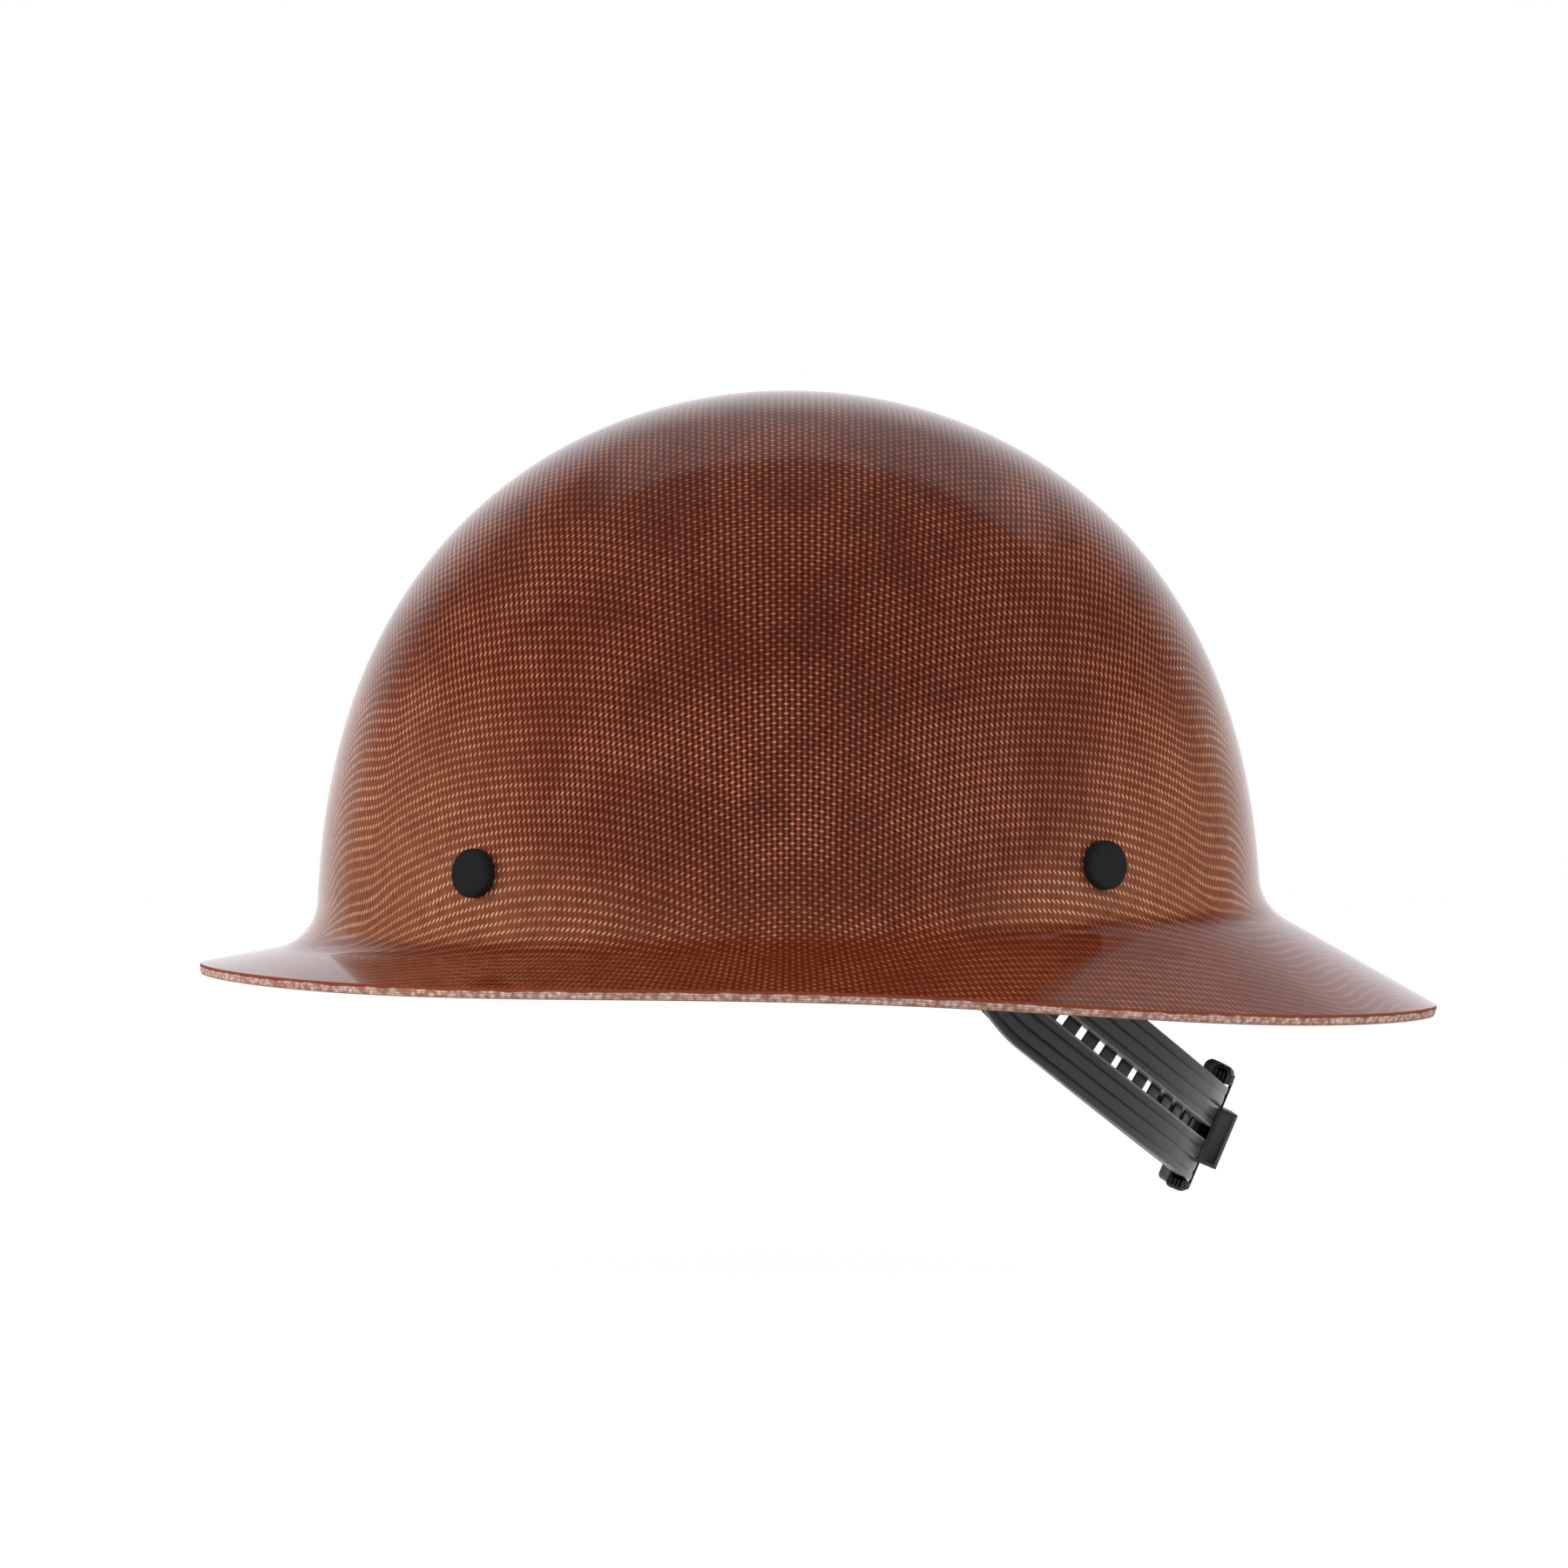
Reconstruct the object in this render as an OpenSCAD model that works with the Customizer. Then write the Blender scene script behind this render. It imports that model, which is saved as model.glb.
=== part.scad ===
// Full brim hard hat with a laminated cloth shell and a four-point webbing suspension.
// Frame: the origin is the middle of the head opening, in the plane of the headband's lower edge.
// +Z is up, the front of the hat is towards -Y, and the wearer's left is +X.

/* [Crown] */
// Outside length of the crown at its base, front to rear
crown_length = 241.4; // [232:0.2:252]
// Outside width of the crown at its base
crown_width = 212; // [204:1:222]
// Height of the crown's top above the headband's lower edge
crown_height = 147.7; // [142:0.1:156]
// Shoulder of the crown: a larger number gives squarer shoulders
crown_shoulder = 2.48; // [2.2:0.02:2.6]
// Roundness of the crown's top: a larger number gives a flatter top
crown_roundness = 2.02; // [1.96:0.02:2.2]
// Thickness of the laminate
shell_wall = 2.6; // [2.2:0.1:3.2]

/* [Brim] */
// Overhang of the brim in front of the crown
brim_front = 29.3; // [22:0.1:38]
// Overhang of the brim at each side
brim_side = 30; // [22:1:40]
// Overhang of the brim behind the crown
brim_rear = 44.3; // [34:0.1:52]
// Slope of the brim at the front, in degrees below level
brim_slope_front = 10.5; // [6:0.5:16]
// Slope of the brim midway between the front and the sides
brim_slope_front_quarter = 15.9; // [11:0.1:20]
// Slope of the brim at the sides
brim_slope_side = 21.1; // [16:0.1:25]
// Slope of the brim midway between the sides and the rear
brim_slope_rear_quarter = 31.1; // [25:0.1:34]
// Slope of the brim at the rear
brim_slope_rear = 29.5; // [24:0.5:34]
// Height at which the front brim's line meets the crown's wall
brim_base_front = 7.4; // [5:0.1:10]
// Height at which the side brims' line meets the wall
brim_base_side = 10.6; // [8:0.1:12]
// Height at which the rear brim's line meets the wall
brim_base_rear = 16.6; // [13:0.1:17.5]
// Radius of the hollow where the wall turns out into the brim
brim_fillet = 13; // [9:0.5:14]

/* [Rivets and lugs] */
// Turn of each rivet's axis away from straight sideways, in degrees
rivet_turn = 35.6; // [32:0.1:39]
// Height of the front rivets
rivet_height_front = 25.5; // [24:0.1:29]
// Height of the rear rivets
rivet_height_rear = 27.5; // [26:0.1:30]
// Diameter of a rivet's cap
cap_d = 12; // [10:0.1:14]
// Height of a rivet's cap
cap_h = 3; // [2.4:0.1:4]
// Radius of the cap's rounded edge
cap_round = 1.3; // [0.6:0.1:1.8]
// Diameter of a rivet's shank
shank_d = 4.8; // [4:0.1:5.4]
// Thickness of the washer between the shell and a lug
washer_t = 1.1; // [0.9:0.1:1.6]
// Width of a lug
lug_width = 20; // [19:0.5:22]
// Depth of a lug's base behind its channel
lug_base = 3.2; // [2.8:0.1:3.8]
// Thickness of a hanger's tongue
tongue_t = 2.6; // [2:0.1:3]
// Width of a hanger's tongue
tongue_width = 14; // [12:0.5:15]

/* [Suspension] */
// Inside length of the headband, front to rear
headband_length = 192; // [184:1:198]
// Inside width of the headband
headband_width = 154; // [148:1:158]
// Height of the headband
headband_height = 34; // [31:1:38]
// Thickness of the headband
headband_wall = 1.6; // [1.2:0.1:2]
// Thickness of the brow pad
pad_t = 5; // [3:0.5:7]
// Width of the crown webbing
webbing_width = 19; // [16:0.5:20]
// Thickness of the crown webbing
webbing_t = 1.2; // [0.9:0.1:1.6]
// Free height between the crown webbing and the shell's top
crown_clearance = 38; // [30:1:48]

/* [Nape strap] */
// Distance of the strap's pivots behind the origin
pivot_back = 26; // [20:1:30]
// Height of the strap's pivots
pivot_height = 23; // [20:1:24]
// Slope of the strap below level, in degrees
strap_slope = 39; // [35:0.5:43]
// Reach of the strap from its pivots to the nape
strap_reach = 102.6; // [97:0.1:108]
// Forward lean of the strap's upper edge at the nape, in degrees
strap_lean = 16.3; // [10:0.1:20]
// Width of the strap's two-railed band
band_width = 25.4; // [22:0.2:28]
// Width of the strap's narrow arm beside the pivot
arm_width = 13; // [11:0.5:16]
// Thickness of each strap
strap_t = 1.6; // [1.2:0.1:1.8]
// Width of the slot between the rails
slot_width = 3.4; // [3:0.1:4.4]
// Distance from rung to rung of the ladder
rung_pitch = 6.9; // [6.4:0.1:7.4]
// Width of a rung
rung_width = 4.5; // [4:0.1:4.7]
// Depth of a rung
rung_depth = 0.6; // [0.5:0.1:0.8]
// Diameter of the pivot pins
pin_d = 5; // [4:0.1:6]

/* [Slide lock] */
// Half of the guide's width along the band
guide_half = 16; // [14:0.5:18]
// Height of the finger grip above the band
grip_above = 5.2; // [4.6:0.1:7]
// Depth of the finger grip below the band
grip_below = 3.2; // [3:0.1:6]
// Thickness of the guide's inner plate
guide_plate = 1.3; // [1:0.1:2]
// Height of the lever across the band
lever_h = 14.8; // [14.4:0.1:17]
// Reach of the lever's free end past the middle of the nape
lever_reach = 14; // [12:0.5:15]
// Distance of the lever's outer face from the middle of the two straps
lever_face = 5.7; // [5.5:0.1:7]
// Diameter of the lever's pin
lever_pin_d = 1.6; // [1.2:0.1:1.8]

/* [Hidden] */

// Finish colours
laminate_brown = [0.42, 0.17, 0.08];
black_plastic = [0.05, 0.05, 0.055];
dark_plastic = [0.14, 0.14, 0.145];
fibre_grey = [0.35, 0.33, 0.3];
webbing_grey = [0.2, 0.2, 0.21];
pad_grey = [0.27, 0.26, 0.25];
spring_steel = [0.6, 0.6, 0.62];

// Running and seating clearances
run_gap = 0.05;
seat_gap = 0.1;
free_gap = 0.3;

// Steps of the faceted surfaces
ring_steps = 80;
dome_steps = 13;
fillet_steps = 5;
brim_steps = 2;

// Share of the brim's slope that its cut edge leans by
cut_lean = 0.5;

// Half sizes of the crown, and the reach of its wall along a rivet's axis
crown_a = crown_length / 2;
crown_b = crown_width / 2;
corner_reach = norm([crown_b * cos(rivet_turn), crown_a * sin(rivet_turn)]);
corner_shift = (crown_a * crown_a - crown_b * crown_b) * sin(rivet_turn) * cos(rivet_turn)
    / corner_reach;

// Half sizes of the headband's inner and outer faces
band_ai = headband_length / 2;
band_bi = headband_width / 2;
band_ao = band_ai + headband_wall;
band_bo = band_bi + headband_wall;
band_reach = norm([band_bo * cos(rivet_turn), band_ao * sin(rivet_turn)]);
band_shift = (band_ao * band_ao - band_bo * band_bo) * sin(rivet_turn) * cos(rivet_turn)
    / band_reach;

// Stack of a rivet, measured inwards from the shell's outer face
shank_gap = 0.1;
washer_outer_d = 11;
washer_hollow = pow(washer_outer_d / 2, 2) / crown_width;
washer_from = shell_wall + 0.2 + washer_hollow;
lug_back = washer_from + washer_t + seat_gap;
clinch_d = 8;
clinch_t = 1.2;
clinch_gap = 0.3;
clinch_from = lug_back + lug_base - clinch_t - clinch_gap;

// Lug and hanger, measured from the rivet's height and from the shell's outer face
lug_below = 10;
lug_above = 14;
lug_stop = 4;
lip_t = 1.6;
lip_cover = 2.8;
tongue_gap = 0.2;
channel_depth = tongue_t + 2 * tongue_gap;
lug_front = lug_back + lug_base + channel_depth + lip_t;
tongue_top = lug_above - lug_stop - tongue_gap;
tongue_below = lug_below + 1;
plate_from = lug_front + free_gap;
plate_t = 2;
bar_d = 3.2;
loop_gap = 0.15;
loop_d = bar_d + 2 * loop_gap + 2 * webbing_t;
bar_back = plate_from + loop_d / 2 + tongue_gap;
bar_rise = lug_above + loop_d / 2;
ear_t = 2;
ear_root = 8;
ear_half = bar_d / 2 + 1;
ear_from = webbing_width / 2 + 0.7;
arm_drop = 5;
foot_half = 5.5;
foot_t = 2;
web_half = 1.6;
stud_d = 6;

// Crown webbing
webbing_top = crown_height - shell_wall - crown_clearance - webbing_t / 2;
webbing_cross_lift = webbing_t + 1;
webbing_steps = 32;
webbing_square = 2.25;
sewn_length = 24;

// Headband ends and taper, as angles round from the front
headband_end = 141;
taper_start = 112;
end_rise = 6;
pad_end = 62;
pad_gap = 0.3;
pad_below = 1.5;
pad_round = 1.6;
pad_stud_angles = [-36, -12, 12, 36];
pad_stud_height = 26;
pad_stud_d = 3;
pad_stud_head = 7;
pad_stud_head_t = 1.2;

// Nape strap: its frame lies in the sloped plane, with Y towards the nape
boss_d = 16;
boss_proud = 0.6;
eye_d = 18;
eye_t = 2.4;
pin_head_d = 12;
pin_head_t = 1.6;
pin_tail_d = 7;
pin_tail_t = 1;
boss_face = band_bo + boss_proud;
boss_in = boss_face - band_bi * sqrt(1 - pow((pivot_back + pin_tail_d / 2) / band_ai, 2));
strap_half = boss_face + seat_gap + eye_t / 2;
layer_gap = 0.2;
layer_shift = strap_t / 2 + layer_gap / 2;
shoulder_from = 17;
shoulder_to = 48;
strap_left_end = 112;
strap_right_end = 162;
slot_from = 22;
slot_left_to = 98;
slot_right_to = 64;
ladder_from = 78.5;
ladder_to = 159;
rungs_before = 3;
rungs_after = 14;
rung_seat = 0.9;
rung_set = 0.6;
nape_r = strap_half * strap_half / strap_reach;
end_lift = guide_half * guide_half / (2 * nape_r) * sin(strap_lean);

// Slide lock, measured outwards from the middle surface of the two straps at the nape
outer_face = layer_gap / 2 + strap_t;
guide_from = -(layer_gap / 2 + strap_t + 0.2);
grip_to = outer_face + 0.2;
grip_chamfer = 1;
saddle_from = outer_face + 0.1;
saddle_t = 0.8;
saddle_top = saddle_from + saddle_t;
saddle_near = 2.4;
saddle_far = 12;
saddle_half = 6;
neck_half = 1.4;
neck_to = 0.3;
neck_near = -3.5;
neck_far = -7.5;
clip_half = 1.6;
clip_d = 1.4;
clip_depth = 2.2;
clip_seat = 1.4;
bridge_t = 0.5;
peg_x = -7.5;
peg_spread = 4.6;
peg_d = 1.8;
lever_pin_x = -10.5;
lever_pin_y = 3.5;
lever_ear_in = 3.8;
lever_ear_out = 5.4;
lever_ear_r = 1.5;
lever_barrel_r = 1.4;
lever_wall = 1;
lever_under = outer_face + 0.25;
lever_end_r = 2.1;
lever_edge = 0.7;
lever_recess = 0.5;
tooth_x = 6;
tooth_tip = -1.7;
tooth_tip_t = 1.2;
tooth_root_t = 3;
tooth_half = 1.3;
tooth_play = 0.15;

// Share of the crown's full plan size at a height, for the outer face or one set in by a wall
function dome(z, in = 0) =
    pow(max(0, 1 - pow(max(z, 0) / (crown_height - in), crown_shoulder)), 1 / crown_roundness);

// Distance from the middle to an oval with half length a along Y and half width b along X
function oval(angle, a, b) = a * b / norm([a * cos(angle), b * sin(angle)]);

// A height that turns smoothly from the front to the sides to the rear
function brim_base(angle) =
    let (
        half = (brim_base_rear - brim_base_front) / 2,
        mean = (brim_base_rear + brim_base_front) / 2
    )
    brim_base_side + half * sin(angle) + (mean - brim_base_side) * pow(sin(angle), 2);

// A slope that passes through the five values given round the brim
function brim_slope(angle) =
    let (
        ends = (brim_slope_rear + brim_slope_front) / 2,
        quarters = (brim_slope_rear_quarter + brim_slope_front_quarter) / 2,
        lift = (brim_slope_rear - brim_slope_front) / 2,
        turn = (brim_slope_rear_quarter - brim_slope_front_quarter) / 2 * sqrt(2),
        level = (brim_slope_side + ends) / 2
    )
    (level + quarters) / 2 + (lift + turn) / 2 * sin(angle)
        + (brim_slope_side - ends) / 2 * cos(2 * angle) + (turn - lift) / 2 * sin(3 * angle)
        + (level - quarters) / 2 * cos(4 * angle);

function brim_edge(angle) =
    oval(angle, crown_a + (sin(angle) > 0 ? brim_rear : brim_front), crown_b + brim_side);

function smooth(t) = let (c = min(1, max(0, t))) c * c * (3 - 2 * c);

// Distance and height pairs from the crown's top to the brim's edge, at one angle
function meridian(angle, in) =
    let (
        slope = brim_slope(angle),
        base = brim_base(angle),
        start = base + brim_fillet * (1 - sin(slope)) / cos(slope),
        wall = oval(angle, crown_a, crown_b) * dome(start),
        full = oval(angle, crown_a - in, crown_b - in),
        last = acos(pow(start / (crown_height - in), crown_shoulder / 2)),
        turn = brim_fillet + in,
        inner = wall + brim_fillet - turn * sin(slope),
        edge = brim_edge(angle) - cut_lean * in * sin(slope)
    )
    concat(
        [for (k = [1:dome_steps]) let (v = last * k / dome_steps)
            [full * pow(sin(v), 2 / crown_roundness),
             (crown_height - in) * pow(cos(v), 2 / crown_shoulder)]],
        [for (k = [1:fillet_steps]) let (v = (90 - slope) * k / fillet_steps)
            [wall + brim_fillet - turn * cos(v), start - turn * sin(v)]],
        [for (k = [1:brim_steps]) let (r = inner + (edge - inner) * k / brim_steps)
            [r, base - in / cos(slope) - tan(slope) * (r - wall)]]
    );

// Triangles of a tube of sections that share a count of points, closed at both ends
module loft(sections) {
    m = len(sections[0]);
    last = (len(sections) - 1) * m;
    sides = [for (i = [0:len(sections) - 2], j = [0:m - 1], half = [0, 1])
        let (a = i * m + j, b = i * m + (j + 1) % m)
        half == 0 ? [a, b + m, b] : [a, a + m, b + m]];
    ends = [for (j = [1:m - 2], side = [0, 1])
        side == 0 ? [0, j, j + 1] : [last, last + j + 1, last + j]];
    polyhedron(points = [for (s = sections) each s], faces = concat(sides, ends));
}

module shell_body() {
    per_ring = ring_steps;
    rings = dome_steps + fillet_steps + brim_steps;
    inner = rings * per_ring;
    outer_pole = 2 * inner;
    inner_pole = outer_pole + 1;
    angles = [for (i = [0:per_ring - 1]) 360 * i / per_ring];
    outer_lines = [for (a = angles) meridian(a, 0)];
    inner_lines = [for (a = angles) meridian(a, shell_wall)];
    points = concat(
        [for (k = [0:rings - 1], i = [0:per_ring - 1]) let (p = outer_lines[i][k])
            [p.x * cos(angles[i]), p.x * sin(angles[i]), p.y]],
        [for (k = [0:rings - 1], i = [0:per_ring - 1]) let (p = inner_lines[i][k])
            [p.x * cos(angles[i]), p.x * sin(angles[i]), p.y]],
        [[0, 0, crown_height], [0, 0, crown_height - shell_wall]]
    );
    caps = [for (i = [0:per_ring - 1], side = [0, 1]) let (j = (i + 1) % per_ring)
        side == 0 ? [outer_pole, j, i] : [inner_pole, inner + i, inner + j]];
    walls = [for (k = [0:rings - 2], i = [0:per_ring - 1], part = [0:3])
        let (j = (i + 1) % per_ring, a = k * per_ring + i, b = k * per_ring + j)
        part == 0 ? [a, b, b + per_ring] :
        part == 1 ? [a, b + per_ring, a + per_ring] :
        part == 2 ? [inner + a, inner + b + per_ring, inner + b] :
                    [inner + a, inner + a + per_ring, inner + b + per_ring]];
    rim = [for (i = [0:per_ring - 1], half = [0, 1])
        let (j = (i + 1) % per_ring, a = (rings - 1) * per_ring + i, b = (rings - 1) * per_ring + j)
        half == 0 ? [a, b, inner + b] : [a, inner + b, inner + a]];
    polyhedron(points = points, faces = concat(caps, walls, rim));
}

// Corner frames: X points outwards along a rivet, Y along the wall
function rivet_z(end) = end > 0 ? rivet_height_rear : rivet_height_front;
function corner_x(z) = corner_reach * dome(z);
function corner_y(z) = corner_shift * dome(z);
function wall_tilt(z) = atan((corner_x(z - 1) - corner_x(z + 1)) / 2);

module at_corner(side, end) {
    mirror([side < 0 ? 1 : 0, 0, 0])
        mirror([0, end < 0 ? 1 : 0, 0])
            rotate([0, 0, rivet_turn])
                children();
}

module at_rivet(side, end) {
    z = rivet_z(end);
    at_corner(side, end)
        translate([corner_x(z), corner_y(z), z])
            rotate([0, 90 - wall_tilt(z), 0])
                children();
}

module at_every_rivet() {
    for (side = [1, -1], end = [1, -1])
        at_rivet(side, end) children();
}

// A block between two corners
module block(low, high) {
    translate(low) cube(high - low);
}

module shell() {
    color(laminate_brown)
        difference() {
            shell_body();
            at_every_rivet()
                translate([0, 0, -2 * shell_wall])
                    cylinder(d = shank_d + 2 * shank_gap, h = 4 * shell_wall, $fn = 48);
        }
}

module rivets() {
    cap_r = cap_d / 2;
    under = seat_gap;
    head_arc = [for (v = [0:15:90])
        [cap_r - cap_round + cap_round * cos(v), cap_h - cap_round + cap_round * sin(v)]];
    color(black_plastic)
        at_every_rivet()
            rotate_extrude($fn = 64)
                polygon(concat(
                    [[0, -clinch_from - clinch_t], [clinch_d / 2, -clinch_from - clinch_t],
                     [clinch_d / 2, -clinch_from], [shank_d / 2, -clinch_from],
                     [shank_d / 2, under], [cap_r - 0.3, under], [cap_r, under + 0.3]],
                    head_arc,
                    [[0, cap_h]]
                ));
}

module washers() {
    color(fibre_grey)
        at_every_rivet()
            translate([0, 0, -washer_from - washer_t])
                difference() {
                    cylinder(d = washer_outer_d, h = washer_t, $fn = 48);
                    translate([0, 0, -1])
                        cylinder(d = shank_d + 2 * shank_gap, h = washer_t + 2, $fn = 48);
                }
}

// Plastic channel that the rivet holds against the shell's inside
module lug(side, end) {
    z = rivet_z(end);
    tilt = wall_tilt(z);
    x = corner_x(z);
    base = x - lug_back - lug_base;
    low = z - lug_below;
    high = z + lug_above;
    half = tongue_width / 2 + tongue_gap;
    color(dark_plastic)
        difference() {
            at_corner(side, end)
                translate([0, corner_y(z), 0])
                    difference() {
                        translate([0, lug_width / 2, 0])
                            rotate([90, 0, 0])
                                linear_extrude(lug_width)
                                    polygon([
                                        [x - lug_back / cos(tilt) + lug_below * tan(tilt), low],
                                        [x - lug_back / cos(tilt) - lug_above * tan(tilt), high],
                                        [x - lug_front, high],
                                        [x - lug_front, low]
                                    ]);
                        block([base - channel_depth, -half, low - 1],
                              [base, half, high - lug_stop]);
                        block([x - lug_front - 1, -half + lip_cover, low - 1],
                              [base - 1, half - lip_cover, high - lug_stop]);
                    }
            at_rivet(side, end) {
                translate([0, 0, -lug_front])
                    cylinder(d = shank_d + 2 * shank_gap, h = lug_front, $fn = 48);
                translate([0, 0, -clinch_from - 3])
                    cylinder(d = clinch_d + 0.8, h = 3 + clinch_gap / 3, $fn = 48);
            }
        }
}

// Moulded hanger: a tongue for the lug, a bar for the webbing and a foot for the headband
module hanger(side, end) {
    z = rivet_z(end);
    x = corner_x(z);
    y = corner_y(z);
    base = x - lug_back - lug_base;
    plate = x - plate_from;
    bar_x = x - bar_back;
    bar_z = z + bar_rise;
    half = tongue_width / 2;
    ear_to = ear_from + ear_t;
    foot_y = band_shift - y;
    foot_z = z - arm_drop;
    color(dark_plastic)
        at_corner(side, end) {
            translate([0, y, 0]) {
                block([base - channel_depth + tongue_gap, -half, z - tongue_below],
                      [base - tongue_gap, half, z + tongue_top]);
                block([plate - plate_t / 2, -half + lip_cover + tongue_gap, z - tongue_below],
                      [base - channel_depth + tongue_gap + 1, half - lip_cover - tongue_gap,
                       z + tongue_top - tongue_gap]);
                block([plate - plate_t, min(-ear_to, foot_y - foot_half), z - tongue_below],
                      [plate, max(ear_to, foot_y + foot_half), z + lug_above - plate_t]);
                for (s = [1, -1])
                    translate([0, s * (ear_from + ear_t / 2), 0])
                        block([bar_x - ear_half, -ear_t / 2, z + lug_above - ear_root],
                              [plate, ear_t / 2, bar_z + ear_half]);
                translate([bar_x, ear_to - ear_t / 2, bar_z])
                    rotate([90, 0, 0])
                        cylinder(d = bar_d, h = 2 * ear_to - ear_t, $fn = 32);
            }
            translate([0, band_shift, 0]) {
                block([band_reach + seat_gap, -foot_half, foot_z - foot_half],
                      [band_reach + seat_gap + foot_t, foot_half, foot_z + foot_half]);
                block([band_reach + foot_t / 2, -web_half, foot_z - foot_half + 1],
                      [plate - plate_t / 2, web_half, foot_z + foot_half - 1]);
                translate([band_reach - headband_wall + seat_gap, 0, foot_z])
                    rotate([0, 90, 0])
                        cylinder(d = stud_d, h = headband_wall + foot_t / 2, $fn = 32);
            }
        }
}

// Crown webbing: a flat ribbon over the head, with a sewn loop round each hanger's bar
function bar_point(end) =
    let (
        z = rivet_z(end),
        u = corner_x(z) - bar_back,
        v = corner_y(z)
    )
    [u * cos(rivet_turn) - v * sin(rivet_turn), u * sin(rivet_turn) + v * cos(rivet_turn),
     z + bar_rise];

module crown_strap(side, lift) {
    front = bar_point(-1);
    rear = bar_point(1);
    f = [side * front.x, -front.y, front.z];
    r = [-side * rear.x, rear.y, rear.z];
    across = [f.x - r.x, f.y - r.y, 0];
    along = across / norm(across);
    flat = [-along.y, along.x, 0];
    top = webbing_top + lift;
    half = norm(across) / 2;
    start = asin(pow((loop_d / 2 - webbing_t / 2) / (top - rear.z), webbing_square / 2));
    angles = [for (k = [0:webbing_steps]) start + (180 - 2 * start) * k / webbing_steps];
    middle = (f + r) / 2;
    spine = [for (v = angles)
        let (s = cos(v), foot_z = middle.z + (f.z - r.z) / 2 * s)
        [middle.x, middle.y, foot_z]
            + along * half * sign(s) * pow(abs(s), 2 / webbing_square)
            + [0, 0, (top - foot_z) * pow(sin(v), 2 / webbing_square)]];
    sections = [for (k = [0:webbing_steps])
        let (
            ahead = spine[min(k + 1, webbing_steps)] - spine[max(k - 1, 0)],
            normal = cross(flat, ahead) / norm(cross(flat, ahead)),
            near_end = min(norm(spine[k] - spine[0]), norm(spine[k] - spine[webbing_steps])),
            t = webbing_t * (near_end < sewn_length ? 1 : 0.5)
        )
        [for (c = [[-1, -1], [-1, 1], [1, 1], [1, -1]])
            spine[k] + flat * c[0] * webbing_width / 2 + normal * c[1] * t]];
    color(webbing_grey)
        difference() {
            union() {
                loft(sections);
                for (end = [1, -1])
                    at_corner(end < 0 ? side : -side, end)
                        at_bar(end)
                            cylinder(d = loop_d, h = webbing_width, center = true, $fn = 48);
            }
            for (end = [1, -1])
                at_corner(end < 0 ? side : -side, end)
                    at_bar(end)
                        cylinder(d = bar_d + 2 * loop_gap, h = webbing_width + 6, center = true,
                                 $fn = 48);
        }
}

module at_bar(end) {
    z = rivet_z(end);
    translate([corner_x(z) - bar_back, corner_y(z), z + bar_rise])
        rotate([90, 0, 0])
            children();
}

// Headband, open behind, with its pivot bosses and stud holes
function band_edge(t) = end_rise * smooth((abs(t) - taper_start) / (headband_end - taper_start));

module headband() {
    drill = 3 * headband_wall + 1;
    color(dark_plastic)
        difference() {
            union() {
                loft([for (k = [0:48])
                    let (
                        t = -headband_end + 2 * headband_end * k / 48,
                        low = band_edge(t),
                        high = headband_height - band_edge(t)
                    )
                    [[band_bi * sin(t), -band_ai * cos(t), low],
                     [band_bi * sin(t), -band_ai * cos(t), high],
                     [band_bo * sin(t), -band_ao * cos(t), high],
                     [band_bo * sin(t), -band_ao * cos(t), low]]]);
                for (side = [1, -1])
                    at_pivot(side)
                        translate([0, 0, -boss_in])
                            cylinder(d = boss_d, h = boss_in, $fn = 64);
            }
            for (side = [1, -1])
                at_pivot(side)
                    translate([0, 0, -2 * boss_in])
                        cylinder(d = pin_d + 2 * run_gap, h = 4 * boss_in, $fn = 48);
            for (side = [1, -1], end = [1, -1])
                at_corner(side, end)
                    translate([band_reach - drill, band_shift, rivet_z(end) - arm_drop])
                        rotate([0, 90, 0])
                            cylinder(d = stud_d + 2 * seat_gap, h = 2 * drill, $fn = 32);
            for (t = pad_stud_angles)
                at_band(t)
                    translate([0, 0, -drill])
                        cylinder(d = pad_stud_d + 2 * seat_gap, h = 2 * drill, $fn = 32);
        }
}

// The outer face of a pivot boss, with Z outwards
module at_pivot(side) {
    mirror([side < 0 ? 1 : 0, 0, 0])
        translate([boss_face, pivot_back, pivot_height])
            rotate([0, 90, 0])
                children();
}

// A point on the headband's outer face, with Z outwards
module at_band(t) {
    translate([band_bo * sin(t), -band_ao * cos(t), pad_stud_height])
        rotate([0, 0, atan2(-cos(t) / band_ao, sin(t) / band_bo)])
            rotate([0, 90, 0])
                children();
}

module brow_pad() {
    outer_a = band_ai - pad_gap;
    outer_b = band_bi - pad_gap;
    steps = 28;
    low = -pad_below;
    high = headband_height - 1;
    color(pad_grey)
        loft([for (k = [0:steps])
            let (
                t = -pad_end + 2 * pad_end * k / steps,
                plump = pad_t * (0.35 + 0.65 * smooth((pad_end - abs(t)) / 10))
            )
            [for (c = [[0, low], [pad_t, low + pad_round], [pad_t, high - pad_round], [0, high]])
                let (d = c[0] == 0 ? 0 : plump)
                [(outer_b - d) * sin(t), -(outer_a - d) * cos(t), c[1]]]]);
}

module brow_pad_studs() {
    reach = headband_wall + pad_gap - run_gap;
    color(black_plastic)
        for (t = pad_stud_angles)
            at_band(t) {
                translate([0, 0, -reach])
                    cylinder(d = pad_stud_d, h = reach + seat_gap + pad_stud_head_t / 2, $fn = 32);
                translate([0, 0, seat_gap])
                    cylinder(d = pad_stud_head, h = pad_stud_head_t, $fn = 48);
            }
}

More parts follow.
